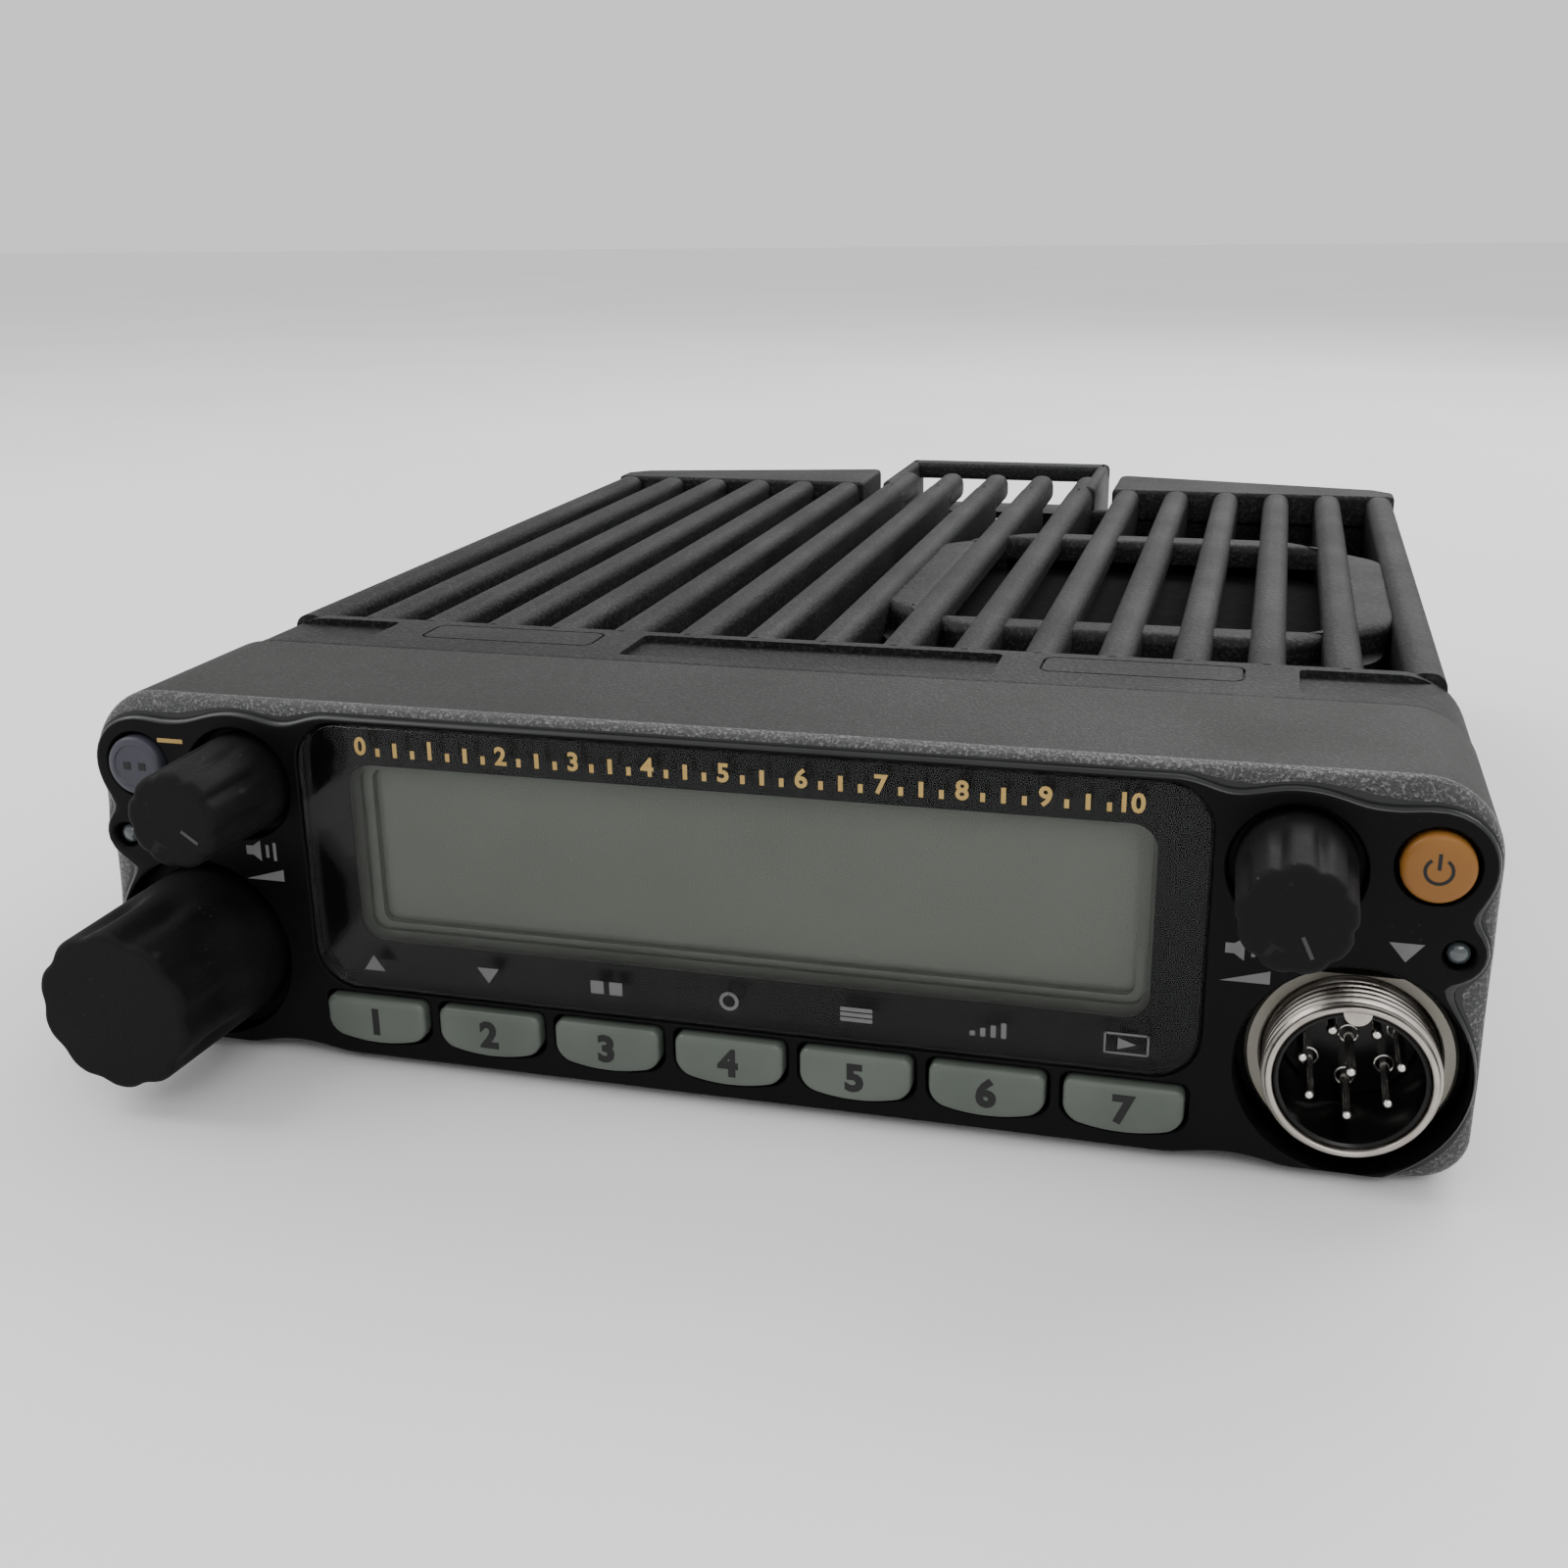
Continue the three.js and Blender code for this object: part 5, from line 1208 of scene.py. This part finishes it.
def d_outline(grow):
    w, h, lean = 8.5 + grow, 4.0 + grow, 0.7
    corners = [(-w + lean, -h), (w - lean, -h), (w, h), (-w, h)]
    return [(data.x + x, data.z + z) for x, z in softened(corners, 1.6)]


data_root, data_end = PLATE_Y + 0.5, data_high.y
DATA_SHELL = ((0, data_root), (0, data_end - 0.2), (-0.15, data_end), (-0.5, data_end),
              (-0.6, data_end - 0.2), (-0.6, data_root))
shell_rings = [at_y(d_outline(grow), y) for grow, y in DATA_SHELL]
finished("data_shell", loft(shell_rings, looped=True), tin_plate, sharp=40)
data_block = work("data_block", prism_y(d_outline(-0.75), data_root, data_end - 0.6))
HOLE_R, HOLE_PITCH, HOLE_ROW = 0.55, 2.77, 1.42
for row, count in ((HOLE_ROW, 5), (-HOLE_ROW, 4)):
    for i in range(count):
        x = data.x + (i - (count - 1) / 2) * HOLE_PITCH
        cut(data_block, rod_y(HOLE_R, data_end - 2.5, data_end + 1, x, data.z + row, 16))
settled(data_block, insulator, sharp=40)
POST = [(2.3, 0.9), (2.3, 3.9), (2.0, 4.2), (1.1, 4.2), (1.0, 3.9), (1.0, 2.0), (0.2, 1.9)]
for side in (-1, 1):
    post = lathe_y([(r, PLATE_Y + y) for r, y in POST], data.x + side * 12.4, data.z, 6)
    finished("data_post", post, screw_steel, sharp=20)

# %% [markdown]
# ## Printed marks
# The panel's printing is replaced with plain numbers and signs: a signal scale over the window,
# numbers on the keys, small signs above them and a ramp beside each volume knob. They are thin raised
# films, as screen printing is.

# %% Numbers and signs
INK = 0.03


def number(name, text, size, x, z, y, material, body=BODY, bold=0.0):
    curve = bpy.data.curves.new(name, "FONT")
    curve.body, curve.size, curve.align_x, curve.align_y = text, size, "CENTER", "CENTER"
    curve.offset, curve.extrude, curve.resolution_u = bold, INK / 2, 3
    obj = bpy.data.objects.new(name, curve)
    bpy.context.scene.collection.objects.link(obj)
    dg = bpy.context.evaluated_depsgraph_get()
    mesh = bpy.data.meshes.new_from_object(obj.evaluated_get(dg), depsgraph=dg)
    bpy.data.objects.remove(obj)
    plain = bpy.data.objects.new(name, mesh)
    bpy.context.scene.collection.objects.link(plain)
    upright = Matrix.Rotation(math.radians(90), 4, "X")
    mesh.transform(Matrix.Translation((x, y - INK / 2, z)) @ upright)
    return settled(plain, material, body=body, weighted=False)


def sign(name, outlines, x, z, y, material, body=BODY):
    solids = [prism_y([(x + a, z + b) for a, b in outline], y - INK, y) for outline in outlines]
    return finished(name, solids, material, body=body, weighted=False)


def bar_sign(x0, x1, z0, z1):
    return [(x0, z0), (x1, z0), (x1, z1), (x0, z1)]


LENS_FACE = lens_low.y
SCALE_Z, SCALE_X, SCALE_STEPS = 35.75, 38.2, 10
TICK_HALF, TICK_LOW, TICKS_PER_STEP = 0.22, -0.75, 4


def scale_x(share):
    return -SCALE_X + 2 * SCALE_X * share


ticks = []
for i in range(SCALE_STEPS * TICKS_PER_STEP + 1):
    if i % TICKS_PER_STEP:
        x = scale_x(i / (SCALE_STEPS * TICKS_PER_STEP))
        tall = 1.5 if i % TICKS_PER_STEP == 2 else 0.84
        ticks.append(bar_sign(x - TICK_HALF, x + TICK_HALF, TICK_LOW, TICK_LOW + tall))
sign("signal_scale", ticks, 0, SCALE_Z, LENS_FACE, gold_ink)
for i in range(SCALE_STEPS + 1):
    number(f"signal_number_{i}", str(i), 2.55, scale_x(i / SCALE_STEPS), SCALE_Z + 0.12, LENS_FACE,
           gold_ink, bold=0.075)

# %% Key numbers and the signs above
for i, m in enumerate(key_middles):
    number(f"key_number_{i + 1}", str(i + 1), 3.9, m.x, KEY_Z - 0.2, -KEY_PROUD, dark_ink,
           body=KEY_NAMES[i], bold=0.19)


def ring_sign(radius, width, start=0, turn=360, steps=28):
    a = [math.radians(start + turn * i / steps) for i in range(steps + 1)]
    outer_arc = [(radius * math.sin(t), radius * math.cos(t)) for t in a]
    inner_arc = [((radius - width) * math.sin(t), (radius - width) * math.cos(t)) for t in reversed(a)]
    return outer_arc + inner_arc


LABEL_Z = 12.1
label_signs = [
    [[(-1.2, -0.8), (1.2, -0.8), (0, 0.9)]],
    [[(-1.2, 0.8), (1.2, 0.8), (0, -0.9)]],
    [bar_sign(-1.7, -0.3, -0.7, 0.7), bar_sign(0.3, 1.7, -0.7, 0.7)],
    [ring_sign(1.0, 0.35, 2, 356)],
    [bar_sign(-1.6, 1.6, z, z + 0.4) for z in (0.35, -0.2, -0.75)],
    [bar_sign(x, x + 0.5, -0.8, z) for x, z in ((-1.8, -0.3), (-0.8, 0.1), (0.2, 0.45), (1.2, 0.8))],
    [bar_sign(-2.1, 2.1, 0.9, 1.1), bar_sign(-2.1, 2.1, -1.1, -0.9), bar_sign(-2.1, -1.9, -1.1, 1.1),
     bar_sign(1.9, 2.1, -1.1, 1.1), [(-0.8, 0.6), (-0.8, -0.6), (0.9, 0)]],
]
for i, (m, outlines) in enumerate(zip(key_middles, label_signs)):
    sign(f"label_sign_{i + 1}", outlines, m.x, LABEL_Z, LENS_FACE, grey_ink)

# %% Signs beside the controls
ramp = [[(-2.2, -2.0), (2.2, -2.0), (2.2, -0.7)]]
horn = [[(-1.9, 0.75), (-1.1, 0.75), (-0.2, 0.1), (-0.2, 2.4), (-1.1, 1.75), (-1.9, 1.75)],
        bar_sign(0.4, 0.75, 0.55, 1.95), bar_sign(1.25, 1.6, 0.25, 2.25)]
sign("main_volume_sign", ramp + horn, -50.7, 22.4, 0.0, white_ink)
sign("main_volume_tick", [bar_sign(-0.8, 0.8, -0.14, 0.14)], -55.2, 24.1, 0.0, white_ink)
sign("sub_volume_sign", ramp + horn, 49.1, 21.6, 0.0, white_ink)
sign("sub_receive_arrow", [[(-1.5, 0.9), (1.5, 0.9), (0, -0.9)]], 62.6, 23.9, 0.0, grey_ink)
sign("memory_bars", [bar_sign(-1.5, 1.5, -0.2, 0.25)], -60.2, 35.0, 0.0, gold_ink)
power_sign = [ring_sign(1.3, 0.3, 35, 290), bar_sign(-0.16, 0.16, 0.1, 1.6)]
sign("power_button_sign", power_sign, BUTTON.x, BUTTON.z - 0.1, button_low.y, dark_ink,
     body="power_button")
memory_sign = [bar_sign(-1.3, -0.5, -0.4, 0.4), bar_sign(0.5, 1.3, -0.4, 0.4)]
sign("memory_button_sign", memory_sign, -BUTTON.x, BUTTON.z, button_low.y + 0.15, dark_ink,
     body="memory_button")

# %% [markdown]
# ## Carried-over pieces
# What is hidden, or plain enough as packed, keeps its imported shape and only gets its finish.

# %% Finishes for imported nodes
finishes = {
    black_plastic: ("lcd_holder", "memory_switch", "power_switch", "power_module", "supply_capacitor",
                    "link_socket", "power_inlet", "fan_frame", "fan_rotor"),
    mat_rubber: ("key_mat",),
    tin_plate: ("dial_encoder", "main_volume_control", "sub_volume_control", "receiver_shield"),
    board_green: ("head_board", "main_board"),
    sheet_paint: ("bottom_cover", "head_back_plate"),
    screw_steel: [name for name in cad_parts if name.startswith(("cover_screw", "board_screw"))],
    paper_cone: ("loudspeaker",),
    foam: ("speaker_cloth",),
    nut_nickel: ("speaker_jack_main", "speaker_jack_sub"),
}
for material, names in finishes.items():
    for name in names:
        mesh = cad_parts[name].data
        mesh.materials.clear()
        mesh.materials.append(material)
print(sum(len(v) for v in finishes.values()), "packed nodes painted")

# %% [markdown]
# ## Light, floor and camera
# A pale floor and big soft lights: one high behind, which draws the rib tops, one high at the left
# and a weak one in front for the keys and the socket.

# %% Floor and lights
FLOOR_HALF, FLOOR_TOP = 3000, -0.02
floor_solid = slab(-FLOOR_HALF, FLOOR_HALF, -FLOOR_HALF, FLOOR_HALF, -4, FLOOR_TOP)
floor_mesh = work("floor", floor_solid)
floor_paint = finish("floor_paint", (0.86, 0.86, 0.86), (0.9, 0.9, 0.9), (0.6, 0.7), 400, 0.02, 8)
floor_mesh.data.materials.append(floor_paint)
floor_mesh.data.transform(Matrix.Scale(MM, 4))
floor_mesh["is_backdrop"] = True
world = bpy.data.worlds.new("studio")
bpy.context.scene.world = world
world.use_nodes = True
background = world.node_tree.nodes["Background"].inputs
background["Color"].default_value = (1, 1, 1, 1)
background["Strength"].default_value = 0.95


def softbox(name, place, aim, size, power):
    light = bpy.data.lights.new(name, "AREA")
    light.shape, light.size, light.size_y, light.energy = "RECTANGLE", size[0], size[1], power
    obj = bpy.data.objects.new(name, light)
    obj.location = place
    obj.rotation_euler = (Vector(aim) - Vector(place)).to_track_quat("-Z", "Y").to_euler()
    bpy.context.scene.collection.objects.link(obj)
    obj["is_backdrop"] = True


softbox("back_light", (0.3, 0.55, 0.6), (0, 0, 0.02), (0.8, 0.35), 5)
softbox("left_light", (-0.6, -0.1, 0.65), (0, 0, 0.02), (0.5, 0.5), 3)
softbox("front_light", (0.3, -0.75, 0.6), (0, -0.08, 0.02), (0.6, 0.3), 2.2)

# %% Camera
camera = bpy.data.cameras.new("camera")
camera.lens, camera.sensor_width = 40.23, 36.0
camera_obj = bpy.data.objects.new("camera", camera)
EYE, TILT = (48.25, -150.63, 87.67), (71.49, 0.80, 15.40)  # millimetres from the face, degrees
camera_obj.location = (EYE[0] * MM, FACE_Y + EYE[1] * MM, EYE[2] * MM)
camera_obj.rotation_euler = tuple(math.radians(a) for a in TILT)
bpy.context.scene.collection.objects.link(camera_obj)
bpy.context.scene.camera = camera_obj
camera.clip_start = 0.01

seen_low, seen_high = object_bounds()
sizes = {"cad": [list(cad_low), list(cad_high)], "visual": [list(seen_low), list(seen_high)]}
print("visual", [round((b - a) / MM, 2) for a, b in zip(seen_low, seen_high)])
